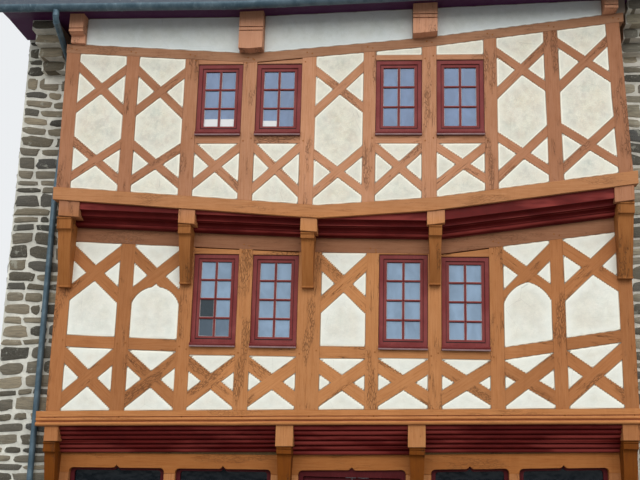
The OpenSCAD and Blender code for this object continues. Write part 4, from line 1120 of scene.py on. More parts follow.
    def folds(self, mesh: bpy.types.Mesh, points: Array) -> Array:
        """Measures how sharply the surface folds at each point.

        The fold is the sum, over the edges that leave a point, of the edge's unit vector along the point's
        normal: about 1 in an inner right angle, 0 on a flat and -1 on an outer right angle.

        Args:
            mesh: The mesh.
            points: Its points as (n, 3).

        Returns:
            Fold of each point.
        """
        normals = read(mesh.vertex_normals, "vector", 3)
        start, end = mesh_edges(mesh).T
        run = unit(points[end] - points[start])
        fold = np.zeros(len(points))
        np.add.at(fold, start, (run * normals[start]).sum(axis=1))
        np.add.at(fold, end, -(run * normals[end]).sum(axis=1))
        return np.clip(fold / self.full_fold, -1.0, 1.0)

    def round_arrises(self, piece: bpy.types.Object) -> None:
        """Rounds the sharp edges of the piece by a bevel."""
        bevel = piece.modifiers.new("arris", "BEVEL")
        bevel.width = self.arris
        bevel.segments = 2
        bevel.limit_method = "ANGLE"
        bevel.angle_limit = math.radians(self.sharp_angle)
        bevel.harden_normals = True

    def build(self) -> None:
        """Makes the worked piece, which stands for its CAD node."""
        work = self.weld()
        if self.grain is Grain.CROSSED:
            self.strip_cuts(work)
        if self.wander > 0.0:
            self.ring_cuts(work)
        mesh = bpy.data.meshes.new(self.node + "_worked")
        work.to_mesh(mesh)
        work.free()
        points = read(mesh.vertices, "co", 3)
        labels = islands(points, mesh_edges(mesh))
        self.lay_grain(mesh, labels)
        if self.wander > 0.0:
            shift = ripple(points + self.part_shift * labels[:, None], self.wander, len(self.node))
            shift[:, 1] *= self.depth_wander
            mesh.vertices.foreach_set("co", (points + shift).reshape(-1))
        keep_on_points(mesh, "fold", self.folds(mesh, points))
        piece = settle(mesh, self.finish, self.body, self.smooth, (self.node,))
        if self.arris > 0.0:
            self.round_arrises(piece)


@dataclass
class DressedNode:
    """A CAD node kept as it is, with a better material."""

    node: str
    finish: Finish

    def dress(self) -> None:
        """Puts the finish in the node's own material slot."""
        node = frame["nodes"][self.node]
        if not node.material_slots:
            node.data.materials.append(None)
        for held in node.material_slots:
            held.material = self.finish.material()
        log.info("%s dressed with %s", self.node, self.finish.name)


# Plaster


@dataclass
class PlasterSkin:
    """A trowelled skin of plaster over one storey, just behind the timbers' faces."""

    name: str
    node: str
    window_node: str
    finish: Limewash
    left: float = -4.0
    right: float = 3.9
    below: float = 0.03
    above: float = 0.008
    pitch: float = 0.022
    lift: float = 0.0065
    bulge: float = 0.0025
    bulge_reach: float = 0.028
    sunk: float = 0.002
    wave_rates: tuple[float, ...] = (5.0, 8.0, 12.0, 18.0, 26.0, 38.0, 55.0)
    wave_heights: tuple[float, ...] = (0.0010, 0.0009, 0.0008, 0.0006, 0.0005, 0.0004, 0.0003)
    most_wave: float = 0.002
    seed: int = 3

    def fronts(self) -> Array:
        """Collects the triangles of the panels' fronts.

        Returns:
            Triangles as (n, 3, 2) in X and Z.
        """
        points = node_points(self.node)
        triangles = points[read(frame["nodes"][self.node].data.polygons, "vertices", 3, int)]
        flat = (np.abs(triangles[:, :, 1] - points[:, 1].min()) < 1e-4).all(axis=1)
        return triangles[flat][:, :, [0, 2]]

    def outlines(self, fronts: Array) -> Array:
        """Collects the edges of the panels' fronts, which are the sides that only one triangle has.

        Args:
            fronts: Triangles as (n, 3, 2).

        Returns:
            Segments as (n, 2, 2) in X and Z.
        """
        same = np.unique(np.round(fronts.reshape(-1, 2), 5), axis=0, return_inverse=True)[1].reshape(-1, 3)
        pairs = np.concatenate([same[:, [0, 1]], same[:, [1, 2]], same[:, [2, 0]]])
        sides = np.concatenate([fronts[:, [0, 1]], fronts[:, [1, 2]], fronts[:, [2, 0]]])
        _, first, times = np.unique(np.sort(pairs, axis=1), axis=0, return_index=True, return_counts=True)
        return sides[first[times == 1]]

    def inside(self, spots: Array, triangles: Array) -> Array:
        """Tells which spots lie on a panel's front.

        A spot is in a triangle when the cross products of its three sides with the way to the spot share a
        sign.

        Args:
            spots: Spots as (n, 2).
            triangles: Triangles as (m, 3, 2).

        Returns:
            A flag for each spot.
        """
        sides = np.roll(triangles, -1, axis=1) - triangles
        within = np.zeros(len(spots), bool)
        for block in np.array_split(np.arange(len(spots)), 60):
            way = spots[block][:, None, None] - triangles[None]
            turn = sides[None, ..., 0] * way[..., 1] - sides[None, ..., 1] * way[..., 0]
            within[block] = ((turn > -1e-9).all(2) | (turn < 1e-9).all(2)).any(1)
        return within

    def distances(self, spots: Array, segments: Array) -> Array:
        """Distance from each spot to the nearest segment.

        The foot of the perpendicular is kept between the segment's two ends.

        Args:
            spots: Spots as (n, 2).
            segments: Segments as (m, 2, 2).

        Returns:
            Distances as (n,).
        """
        start, run = segments[:, 0], segments[:, 1] - segments[:, 0]
        length = np.maximum((run ** 2).sum(1), 1e-12)
        nearest = np.empty(len(spots))
        for block in np.array_split(np.arange(len(spots)), 40):
            gap = spots[block][:, None] - start[None]
            share = np.clip((gap * run).sum(2) / length, 0.0, 1.0)
            nearest[block] = np.linalg.norm(gap - share[:, :, None] * run, axis=2).min(1)
        return nearest

    def build(self) -> None:
        """Makes the skin, with openings left at the windows.

        Depth = lift and a bulge that dies out towards the timbers, plus slow ripples. Spots off the panels
        lie behind the front, so that the skin ends inside the timbers.
        """
        points = node_points(self.node)
        front = points[:, 1].min()
        low, high = points[:, 2].min() - self.below, points[:, 2].max() + self.above
        xs = np.linspace(self.left, self.right, int((self.right - self.left) / self.pitch) + 1)
        zs = np.linspace(low, high, int((high - low) / self.pitch) + 1)
        spots = np.stack(np.meshgrid(xs, zs), axis=-1).reshape(-1, 2)
        fronts = self.fronts()
        rim = self.distances(spots, self.outlines(fronts))
        rng = np.random.default_rng(self.seed)
        count = len(self.wave_rates)
        waves = rng.normal(0.0, 1.0, (count, 2)) * np.array(self.wave_rates)[:, None]
        slow = (np.sin(spots @ waves.T + rng.uniform(0, 6.3, count)) * self.wave_heights).sum(1)
        slow = np.clip(slow, -self.most_wave, self.most_wave)
        swell = self.bulge * (1.0 - np.exp(-rim / self.bulge_reach))
        within = self.inside(spots, fronts)
        depth = np.where(within, front - self.lift - swell + slow, front + self.sunk)
        quads = grid_quads(len(zs), len(xs))
        middle = spots[quads].mean(1)
        shown = within[quads].any(axis=1)
        for low_corner, high_corner in solid_boxes(self.window_node)[:, :, [0, 2]]:
            shown &= ~((middle > low_corner) & (middle < high_corner)).all(axis=1)
        made = Mesh()
        made.add(np.insert(spots, 1, depth, axis=1), quads[shown])
        piece = made.build(self.name, self.finish, smooth=60.0)
        keep_on_points(piece.data, "rim", rim)


# Stone


@dataclass
class RubbleFace:
    """One face of a stone wall, covered with rubble stones that stand out of the mortar."""

    origin: Array
    across: Array
    normal: Array
    width: float
    height: float
    seed: int
    openings: tuple[tuple[float, float, float, float], ...] = ()
    roof: Array | None = None
    course: tuple[float, float] = (0.11, 0.23)
    length: tuple[float, float] = (0.20, 0.56)
    typical: tuple[float, float] = (0.28, 0.42)
    proud: float = 0.018
    joint: float = 0.024
    depth: float = 0.003
    overlap: float = 0.0
    waves: float = 1.0
    slope: float = 0.0
    sides: int = 16
    squareness: tuple[float, float] = (0.22, 0.70)
    least_half: float = 0.02
    quiet_reach: float = 0.3
    tucked: float = 0.05

    def beds(self, rng: np.random.Generator) -> Array:
        """Cuts the face into beds and each bed into stones, leaving the openings free.

        Args:
            rng: Seeded numbers.

        Returns:
            Stones as (n, 4): left, bottom, right and top.
        """
        stones = []
        level = 0.0
        while level < self.height - 0.04:
            top = min(level + rng.uniform(*self.course), self.height)
            holes = sorted(o for o in self.openings if o[1] < top - 0.03 and o[3] > level + 0.03)
            lefts = [0.0, *(hole[2] for hole in holes)]
            rights = [*(hole[0] for hole in holes), self.width]
            for left, right in zip(lefts, rights):
                count = max(1, int(round((right - left) / rng.uniform(*self.typical))))
                sizes = rng.uniform(*self.length, count)
                ends = left + np.concatenate([[0.0], np.cumsum(sizes) / sizes.sum()]) * (right - left)
                stones += [(a, level, b, top) for a, b in zip(ends[:-1], ends[1:])]
            level = top
        return np.array(stones)

    def outlines(self, half: Array, rng: np.random.Generator, power: Array) -> Array:
        """Draws the outline of each stone about its middle.

        The point at turn t of a squared-off oval is at half the width times a signed power of cos t, and the
        same for the height with sin t. The oval is skewed, so that no two sides run parallel, made lumpy, and
        turned a little.

        Args:
            half: Half the width and height of each stone, as (n, 2).
            rng: Seeded numbers.
            power: The power of each stone as (n, 1), low for squared stones and high for round ones.

        Returns:
            Points as (n, sides, 2).
        """
        n = len(half)
        turn = 2.0 * np.pi * (np.arange(self.sides) + 0.5) / self.sides
        circle = np.stack([np.cos(turn), np.sin(turn)], axis=1)
        oval = np.sign(circle) * np.abs(circle) ** power[..., None]
        lumps = 1.0 + rng.normal(0.0, 0.055, (n, self.sides, 1))
        skew = rng.uniform(-0.13, 0.13, (n, 1, 2)) * oval[..., :1] * oval[..., 1:]
        outline = half[:, None] * (oval + skew) * lumps
        tilt = rng.normal(0.0, 0.05, (n, 1)) * np.minimum(1.0, half[:, 1:] / half[:, :1])
        return np.stack([outline[..., 0] * np.cos(tilt) - outline[..., 1] * np.sin(tilt),
                         outline[..., 0] * np.sin(tilt) + outline[..., 1] * np.cos(tilt)], axis=2)

    def drift(self, local: Array, rng: np.random.Generator) -> Array:
        """Works out how far slow waves carry the courses up and down.

        It is the sum of two sine waves, quiet near the ground and beside the openings.

        Args:
            local: Points as (n, k, 3): across, up and out.
            rng: Seeded numbers.

        Returns:
            Rise of each point as (n, k).
        """
        phase = rng.uniform(0.0, 6.3, 2)
        x, z = local[..., 0], local[..., 1]
        rise = (0.024 * np.sin(2.3 * x + 0.9 * z + phase[0])
                + 0.012 * np.sin(6.1 * x - 2.2 * z + phase[1]))
        quiet = np.ones_like(rise)
        for left, low, right, high in self.openings:
            gap = np.maximum(np.abs(x - (left + right) / 2) - (right - left) / 2,
                             np.abs(z - (low + high) / 2) - (high - low) / 2)
            quiet = np.minimum(quiet, np.clip(gap / self.quiet_reach, 0.0, 1.0))
        return self.waves * rise * quiet * np.clip(z / self.quiet_reach, 0.0, 1.0)

    def add_to(self, made: Mesh) -> None:
        """Adds the stones to a mesh.

        Each stone is three rings of points, at the joint, the shoulder and the face, and a crown in the
        middle. Stones over the roof line are left out, and those that reach it are cut by it.

        Args:
            made: The mesh that takes them.
        """
        rng = np.random.default_rng(self.seed)
        stones = self.beds(rng)
        n, sides = len(stones), self.sides
        power = rng.uniform(*self.squareness, (n, 1))
        middle = (stones[:, :2] + stones[:, 2:]) / 2.0
        half = np.maximum((stones[:, 2:] - stones[:, :2]) / 2.0 - self.joint / 2.0
                          - rng.uniform(0.0, 0.014, (n, 2)), self.least_half)
        outline = self.outlines(half, rng, power)
        proud = self.proud * rng.uniform(0.55, 1.25, n)
        rings = []
        for scale, rise in ((1.0, np.full(n, -self.depth)), (0.97, proud * 0.65), (0.84, proud)):
            flat = middle[:, None] + outline * scale
            rings.append(np.concatenate([flat, np.broadcast_to(rise[:, None, None], (n, sides, 1))], 2))
        crown = np.concatenate([middle, (proud * rng.uniform(0.95, 1.15, n))[:, None]], 1)[:, None]
        local = np.concatenate([*rings, crown], axis=1)
        local[..., 1] += self.drift(local, rng) + self.slope * local[..., 0]
        if self.roof is not None:
            standing = stones[:, 1] < np.interp(middle[:, 0], *self.roof.T) - self.tucked
            local[..., 1] = np.minimum(local[..., 1], np.interp(local[..., 0], *self.roof.T))
            local = local[standing]
        local[..., 0] = np.clip(local[..., 0], -self.overlap, self.width + self.overlap)
        world = self.origin + local @ np.stack([self.across, UP, self.normal])
        ring = np.arange(sides)
        quads = ring_quads(3, sides)
        crowns = np.stack([ring + 2 * sides, (ring + 1) % sides + 2 * sides, np.full(sides, 3 * sides)], 1)
        if np.dot(np.cross(self.across, UP), self.normal) < 0:
            quads, crowns = quads[:, ::-1], crowns[:, ::-1]
        made.add_copies(world, [quads, crowns], rng.uniform(0.0, 1.0, len(local)))


@dataclass
class GableHead:
    """Long stones on the courses that step out of a gable and carry its eaves."""

    side: float
    wall_front: float
    seed: int
    overlap: float = 0.007

    def add_to(self, made: Mesh) -> None:
        """Adds one or two stones to each course, as rubble of a single bed that runs back into the wall.

        Args:
            made: The mesh that takes them.
        """
        points = node_points("gable_walls")
        points = points[(points[:, 0] * self.side > 0.0) & (points[:, 1] < self.wall_front - 0.02)]
        for number, front in enumerate(np.unique(np.round(points[:, 1], 3))):
            face = points[np.abs(points[:, 1] - front) < 0.002]
            left, right = float(face[:, 0].min()), float(face[:, 0].max())
            edge = face[face[:, 0] < left + 0.002, 2]
            low, high = float(edge.min()), float(edge.max())
            slope = float(eaves_lift(right) - eaves_lift(left)) / (right - left)
            RubbleFace(np.array([left, front, low]), ALONG, -BACK, right - left, high - low,
                       self.seed + number, course=(high - low, high - low), joint=-self.overlap, waves=0.0,
                       depth=self.wall_front - front, overlap=self.overlap, slope=slope).add_to(made)


@dataclass
class StoneWalls:
    """The two gable walls, the rear wall and the plinth."""

    joint_gap: float = 0.02
    plinth_cap: float = 0.04
    plinth_proud: float = 0.012

    def roof_line(self, outer: float, front: float) -> Array:
        """Reads a gable's roof line, as distance from the front edge and height, from front to back."""
        points = node_points("gable_walls")
        top = points[(np.abs(points[:, 0] - outer) < 0.01) & (points[:, 2] > 5.0)]
        return np.unique(np.round(top[:, 1:], 3), axis=0) - [front, self.joint_gap]

    def gable(self, name: str, box: Array, side: float, seed: int, finish: Masonry) -> float:
        """Makes the stones of one gable: its outer face, its stepped head and its two ends.

        Args:
            name: Name of the piece.
            box: The wall's box.
            side: -1 for the left gable, 1 for the right one.
            seed: Number of the gable, for its random draws.
            finish: Finish of the stones.

        Returns:
            Height of the stones at the back, at the outer face.
        """
        made = Mesh()
        outer = box[0, 0] if side < 0 else box[1, 0]
        points = node_points("gable_walls")
        front = float(points[np.abs(points[:, 0] - outer) < 0.01, 1].min())
        line = self.roof_line(outer, front)
        RubbleFace(np.array([outer, front, 0.0]), BACK, side * ALONG, float(box[1, 1] - front),
                   float(line[:, 1].max()), 11 + seed, roof=line).add_to(made)
        GableHead(side, front, 61 + 10 * seed).add_to(made)
        ends = box[:, 0]
        for face, (y, normal, top) in enumerate(((front, -BACK, line[0, 1]), (box[1, 1], BACK, line[-1, 1]))):
            tops = top + eaves_lift(ends) - eaves_lift(outer)
            RubbleFace(np.array([ends[0], y, 0.0]), ALONG, normal, float(ends[1] - ends[0]),
                       float(tops.max()), 21 + 2 * seed + face,
                       roof=np.stack([ends - ends[0], tops], 1)).add_to(made)
        made.build(name, finish, smooth=42.0)
        return line[-1, 1]

    def rear(self, back_top: float, outer: float) -> None:
        """Makes the stones of the rear wall, which follow the climb of the eaves.

        Args:
            back_top: Height of the stones at the back of the right gable.
            outer: X of that gable's outer face.
        """
        low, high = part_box("rear_wall")
        holes = tuple((float(b[0, 0] - low.x), float(b[0, 2]), float(b[1, 0] - low.x), float(b[1, 2]))
                      for b in solid_boxes("rear_window_frames"))
        knots = np.array([low.x, EAVES_KNOT, high.x])
        crown = np.stack([knots - low.x, back_top - eaves_lift(outer) + eaves_lift(knots)], 1)
        made = Mesh()
        RubbleFace(np.array([low.x, high.y, 0.0]), ALONG, BACK, high.x - low.x, float(crown[:, 1].max()), 31,
                   openings=holes, roof=crown).add_to(made)
        made.build("rear_wall_stones", STONE, smooth=50.0)

    def plinth(self) -> None:
        """Makes the stones of the plinth under the shop windows."""
        made = Mesh()
        for seed, box in enumerate(solid_boxes("front_plinth")):
            RubbleFace(np.array([box[0, 0], box[0, 1], 0.0]), ALONG, -BACK, float(box[1, 0] - box[0, 0]),
                       float(box[1, 2]) - self.plinth_cap, 41 + seed, proud=self.plinth_proud).add_to(made)
        made.build("plinth_stones", STONE, smooth=50.0)

    def build(self) -> None:
        """Makes the stones of each wall and dresses the walls behind them as mortar."""
        left, right = solid_boxes("gable_walls")
        self.gable("left_gable_stones", left, -1.0, 0, STONE)
        back_top = self.gable("right_gable_stones", right, 1.0, 1, STONE_PAINTED_LIGHT)
        self.rear(back_top, right[1, 0])
        self.plinth()
        for node in ("gable_walls", "rear_wall", "front_plinth", "ground_floor"):
            DressedNode(node, MORTAR).dress()


# Roof


@dataclass
class SlateSlope:
    """Rows of slates on one slope of the roof, from the eaves to the ridge."""

    node: str
    seed: int
    showing: float = 0.165
    wide: float = 0.225
    least_wide: float = 0.03
    thick: float = 0.007
    slack: float = 0.004
    overhang: float = 0.012
    uneven: float = 0.0022
    crooked: float = 0.0016
    clipped: tuple[float, float] = (0.004, 0.022)
    loose: float = 0.004
    bed: float = 0.001

    def path(self) -> Array:
        """Reads the outer line of the slope.

        Returns:
            Points from the eaves to the ridge as (3, 2) in Y and Z.
        """
        profile = left_end(self.node)
        order = profile[np.argsort(profile[:, 1])]
        return np.array([pair[np.argmax(pair[:, 1])] for pair in (order[0:2], order[2:4], order[4:6])])

    def build(self) -> None:
        """Lays the slates.

        A slate is a thin plate with two clipped lower corners. Its points have a place s up the slope and a
        height h over it, and the path turns s into Y and Z while h is measured square to the path.
        """
        rng = np.random.default_rng(self.seed)
        path = self.path()
        run = np.diff(path, axis=0)
        lengths = np.linalg.norm(run, axis=1)
        reach = np.concatenate([[0.0], np.cumsum(lengths)])
        low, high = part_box(self.node)
        rows = int(reach[-1] / self.showing)
        columns = int((high.x - low.x) / self.wide)
        gap = (high.x - low.x) / columns
        row, column = np.meshgrid(np.arange(rows), np.arange(columns + 1), indexing="ij")
        left = low.x + (column - 0.5 * (row % 2)) * gap
        right = left + gap - self.slack
        left, right = np.clip(left.ravel(), low.x, high.x), np.clip(right.ravel(), low.x, high.x)
        wide_enough = right - left > self.least_wide
        row, left, right = row.ravel()[wide_enough], left[wide_enough], right[wide_enough]
        n = len(row)
        tail = row * self.showing - self.overhang + rng.normal(0.0, self.uneven, n)
        head = np.minimum(tail + 2.0 * self.showing, reach[-1])
        clip = rng.uniform(*self.clipped, (n, 2))
        lift = 2.1 * self.thick + rng.uniform(0.0, self.loose, n)
        turn = rng.normal(0.0, self.crooked, n)
        x = np.stack([left + clip[:, 0], right - clip[:, 1], right, right, left, left], 1)
        s = np.stack([tail, tail + turn, tail + turn + clip[:, 1], head, head, tail + clip[:, 0]], 1)
        share = (s - tail[:, None]) / (2.0 * self.showing)
        h = lift[:, None] * (1.0 - share) + self.bed
        x, s = np.concatenate([x, x], 1), np.concatenate([s, s], 1)
        h = np.concatenate([h, h - self.thick], 1)
        part = (s > reach[1]).astype(int)
        along = (s - reach[part]) / lengths[part]
        base = path[part] + along[..., None] * run[part]
        square = np.stack([-run[:, 1], run[:, 0]], 1) / lengths[:, None]
        square *= np.sign(square[:, 1:])
        spot = base + h[..., None] * square[part]
        points = np.concatenate([x[..., None], spot], axis=2)
        points[..., 2] += eaves_lift(x)
        top = np.array([[0, 1, 2, 5], [5, 2, 3, 4]])
        rim = np.array([[0, 6, 7, 1], [1, 7, 8, 2], [2, 8, 9, 3], [5, 11, 6, 0], [4, 10, 11, 5]])
        backwards = run[0, 0] < 0
        faces = [block[:, ::-1] if backwards else block for block in (top, rim)]
        made = Mesh()
        made.add_copies(points, faces, rng.uniform(0.0, 1.0, n))
        made.build(self.node + "_slates", SLATE, smooth=None)


@dataclass
class RidgeTiles:
    """Angled ridge tiles with a small roll on top, each lapped over the next."""

    long: float = 0.34
    lap: float = 0.03
    lap_step: float = 0.004
    lap_rise: float = 0.012
    roll: float = 0.032
    roll_rise: float = 0.014
    sunk: float = 0.042
    over: float = 0.030
    under: float = 0.008
    seed: int = 5

    def build(self) -> None:
        """Lays the tiles: an angled profile carried along the ridge, swollen at its lapping end."""
        low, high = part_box("ridge")
        profile = left_end("ridge")
        middle = float(profile[:, 0].mean())
        half = float(np.ptp(profile[:, 0])) / 2.0
        top = float(profile[:, 1].max()) - self.sunk
        foot = float(profile[:, 1].min()) - top
        profile = np.concatenate([[[half, foot + self.over]],
                                  ring_profile(self.roll, 16)[1:8] + [0.0, self.roll_rise],
                                  [[-half, foot + self.over], [-half, foot + self.under],
                                   [0.0, self.under / 2.0], [half, foot + self.under]]])
        count = int(round((high.x - low.x) / self.long))
        pitch = (high.x - low.x) / count
        starts = low.x + pitch * np.arange(count)
        along = np.array([0.0, self.lap, self.lap + self.lap_step, pitch])
        swell = np.array([self.lap_rise, self.lap_rise, 0.0, 0.0])
        rings, sides = len(along), len(profile)
        points = np.empty((count, rings, sides, 3))
        points[..., 0] = (starts[:, None] + along[None])[..., None]
        points[..., 1] = middle + profile[None, None, :, 0] * (1.0 + swell[None, :, None])
        points[..., 2] = top + profile[None, None, :, 1] + swell[None, :, None] + eaves_lift(points[..., 0])
        turn = np.arange(sides)[None]
        faces = [ring_quads(rings, sides)[:, [0, 3, 2, 1]], turn, (turn + (rings - 1) * sides)[:, ::-1]]
        made = Mesh()
        tones = np.random.default_rng(self.seed).uniform(0.2, 0.9, count)
        made.add_copies(points.reshape(count, -1, 3), faces, tones)
        made.build("ridge_tiles", SLATE, smooth=40.0, replaces=("ridge",))


# Windows


CAP_PROFILE = np.array([[0.004, 0.017], [0.006, 0.026], [0.015, 0.034], [0.016, 0.048], [-0.010, 0.058],
                        [-0.060, 0.062], [-0.060, 0.058], [-0.012, 0.053], [-0.001, 0.045], [-0.001, 0.017]])
STRIP_PROFILE = np.array([[0.013, -0.003], [0.013, 0.012], [0.007, 0.017], [-0.001, 0.017], [-0.001, -0.001],
                          [-0.018, -0.001], [-0.018, -0.003]])


@dataclass(frozen=True)
class BarShape:
    """Section of a glazing bar: how far edge and face stand out of the glass, and half its flat's share."""

    edge: float
    flat: float
    face: float
    root: float = 0.012

    def profile(self, width: float) -> Array:
        """Draws the section of a bar of some width, as (6, 2), across the bar and inwards."""
        half, flat = width / 2.0, width * self.flat
        return np.array([[-half, self.root], [-half, -self.edge], [-flat, -self.face],
                         [flat, -self.face], [half, -self.edge], [half, self.root]])


@dataclass
class Glazing:
    """Bars, panes, putty, painted shadow strips, sill caps and sill strips of one storey's windows."""

    storey: str
    columns: int
    rows: int
    facing: float = -1.0
    bar: float = 0.024
    mullion: float = 0.030
    upright_shape: BarShape = BarShape(0.010, 0.22, 0.020)
    level_shape: BarShape = BarShape(0.018, 0.34, 0.022)
    bar_end: float = 0.01
    level_proud: float = 0.002
    dark_panes: dict[tuple[int, int, int], float] = field(default_factory=dict)
    blinds: dict[tuple[int, int], float] = field(default_factory=dict)
    sash: float = 0.046
    frame: float = 0.062
    gap: float = 0.008
    outer_gap_share: float = 0.7
    gap_proud: float = 0.0006
    sash_front: float = 0.024
    frame_front: float = 0.040
    pane_lap: float = 0.003
    pane_front: float = 0.001
    bow: tuple[float, float] = (-0.0012, 0.0016)
    tilt: float = 0.0016
    pane_grid: tuple[int, int] = (11, 5)
    bead: float = 0.007
    bead_proud: tuple[float, float] = (0.010, 0.002)
    cap_inset: float = 0.002
    seed: int = 1
    glass: WindowPane = PANE
    bars: Mesh = field(default_factory=Mesh)
    panes: Mesh = field(default_factory=Mesh)
    putty: Mesh = field(default_factory=Mesh)
    # The gaps mesh holds the strips of painted shadow.
    gaps: Mesh = field(default_factory=Mesh)

    def front(self, box: Array) -> float:
        """Y of the side of a box that faces out."""
        return box[0, 1] if self.facing < 0 else box[1, 1]

    def ring_walls(self) -> Array:
        """Quads between four outer and four inner corners, facing out."""
        walls = ring_quads(2, 4)
        return walls if self.facing < 0 else walls[:, ::-1]

    def cells(self, box: Array) -> tuple[Array, Array]:
        """Divides a sheet of glass by its bars.

        Args:
            box: The sheet's box.

        Returns:
            Left and right edges of the columns, and lower and upper edges of the rows, each as (n, 2).
        """
        wide = box[1, 0] - box[0, 0]
        high = box[1, 2] - box[0, 2]
        pane_w = (wide - (self.columns - 1) * self.mullion) / self.columns
        pane_h = (high - (self.rows - 1) * self.bar) / self.rows
        left = box[0, 0] + np.arange(self.columns) * (pane_w + self.mullion)
        low = box[0, 2] + np.arange(self.rows) * (pane_h + self.bar)
        return np.stack([left, left + pane_w], 1), np.stack([low, low + pane_h], 1)

    def build(self) -> None:
        """Makes the storey's bars, panes, putty, painted shadow strips, sill caps and sill strips."""
        sheets = solid_boxes(self.storey + "_glass")
        rng = np.random.default_rng(self.seed)
        for number, box in enumerate(sheets):
            self.add_bars(box)
            self.add_panes(box, number, rng)
        for box in sheets:
            self.add_shadow_strips(box)
        self.gaps.build(self.storey + "_window_shadow_strips", SHADOW, smooth=None)
        self.bars.build(self.storey + "_glazing_bars", RED, smooth=30.0)
        self.panes.build(self.storey + "_panes", self.glass, smooth=60.0, replaces=(self.storey + "_glass",))
        self.putty.build(self.storey + "_putty", PUTTY, smooth=30.0)
        self.sills("_sill_caps", CAP_PROFILE, RED)
        self.sills("_sill_strips", STRIP_PROFILE, SILL_STRIP)

    def sills(self, ending: str, profile: Array, finish: Finish) -> None:
        """Carries a profile along the foot of each window frame.

        Args:
            ending: End of the piece's name.
            profile: Profile points as (n, 2), outwards and up.
            finish: Finish of the piece.
        """
        made = Mesh()
        order = profile if self.facing < 0 else profile[::-1]
        for box in solid_boxes(self.storey + "_window_frames"):
            start = np.array([box[0, 0] + self.cap_inset, self.front(box), box[0, 2]])
            end = np.array([box[1, 0] - self.cap_inset, self.front(box), box[0, 2]])
            made.add_copies(*prisms(start, end, self.facing * BACK, order * [1.0, self.facing]))
        made.build(self.storey + ending, finish, smooth=30.0, closed=True)

    def add_shadow_strips(self, box: Array) -> None:
        """Adds painted shadow: dark strips in the gaps between frame and sash, and between frame and timbers.

        A strip is a flat ring just in front of the wood: four corners outside and four inside, where it is
        thicker at the foot and head than at the sides.

        Args:
            box: Box of the window's glass.
        """
        inwards = np.array([[1.0, 2.2], [-1.0, 2.2], [-1.0, -1.2], [1.0, -1.2]])
        for grow, thick, depth in ((self.sash, self.gap, self.sash_front),
                                   (self.sash + self.frame, self.gap * self.outer_gap_share,
                                    self.frame_front)):
            corners = rectangle(box[0, 0] - grow, box[0, 2] - grow, box[1, 0] + grow, box[1, 2] + grow)
            y = self.front(box) + self.facing * (depth + self.gap_proud)
            ring = np.concatenate([corners, corners + thick * inwards])
            self.gaps.add(np.insert(ring, 1, y, 1), self.ring_walls())

    def add_bars(self, box: Array) -> None:
        """Adds moulded bars on the front of the glass, upright ones first.

        Args:
            box: Box of the window's glass.
        """
        columns, rows = self.cells(box)
        (left, _, low), (right, _, high) = box
        front, out = self.front(box), self.facing
        places = (columns[:-1, 1] + columns[1:, 0]) / 2.0
        starts = np.array([[x, front, low - self.bar_end] for x in places])
        run = (high - low + 2.0 * self.bar_end) * UP
        profile = self.upright_shape.profile(self.mullion) * [1.0, -out]
        self.bars.add_copies(*prisms(starts, starts + run, ALONG, profile))
        places = (rows[:-1, 1] + rows[1:, 0]) / 2.0
        starts = np.array([[left - self.bar_end, front - out * self.level_proud, z] for z in places])
        run = (right - left + 2.0 * self.bar_end) * ALONG
        profile = self.level_shape.profile(self.bar) * [1.0, out]
        self.bars.add_copies(*prisms(starts, starts + run, UP, profile))

    def add_panes(self, box: Array, number: int, rng: np.random.Generator) -> None:
        """Adds slightly bowed panes and a thin bead of putty round each, painted shadow under the bar above.

        A pane is a small grid. Its bow is the product of two half sine waves, and it is tilted by a small
        chance amount, as old panes are. Its tone is 2 where a blind hangs behind it.

        Args:
            box: Box of the window's glass.
            number: Number of the window in its storey.
            rng: Seeded numbers.
        """
        columns, rows = self.cells(box)
        front, out, lap = self.front(box), self.facing, self.pane_lap
        up_points, across_points = self.pane_grid
        across, up = np.meshgrid(np.linspace(0.0, 1.0, across_points), np.linspace(0.0, 1.0, up_points))
        quads = grid_quads(up_points, across_points)
        if out > 0:
            quads = quads[:, ::-1]
        walls = self.ring_walls()
        for c, (left, right) in enumerate(columns):
            for r, (low, high) in enumerate(rows):
                bow = rng.uniform(*self.bow) * np.sin(np.pi * across) * np.sin(np.pi * up)
                lean_x, lean_z = rng.normal(0.0, self.tilt, 2)
                bow += lean_x * (across - 0.5) + lean_z * (up - 0.5)
                points = np.stack([left - lap + across * (right - left + 2.0 * lap),
                                   front + out * (self.pane_front + bow),
                                   low - lap + up * (high - low + 2.0 * lap)], -1).reshape(-1, 3)
                tone = self.dark_panes.get((number, c, self.rows - 1 - r), rng.uniform(0.86, 1.0))
                blind = rows[0, 0] + self.blinds.get((number, c), -1.0)
                self.panes.add(points, quads, np.where(points[:, 2] < blind, 2.0, tone))
                edges = [rectangle(left + inset, low + inset, right - inset, high - inset)
                         for inset in (0.0, self.bead)]
                ring = np.concatenate([np.insert(edge, 1, front + out * proud, 1)
                                       for edge, proud in zip(edges, self.bead_proud)])
                self.putty.add(ring, walls[[0, 1, 3]])
                # Painted shadow: the top side of each bead is laid as a dark strip, for the shade under the
                # bar above.
                self.gaps.add(ring[walls[2]], np.arange(4)[None])


# Small fittings


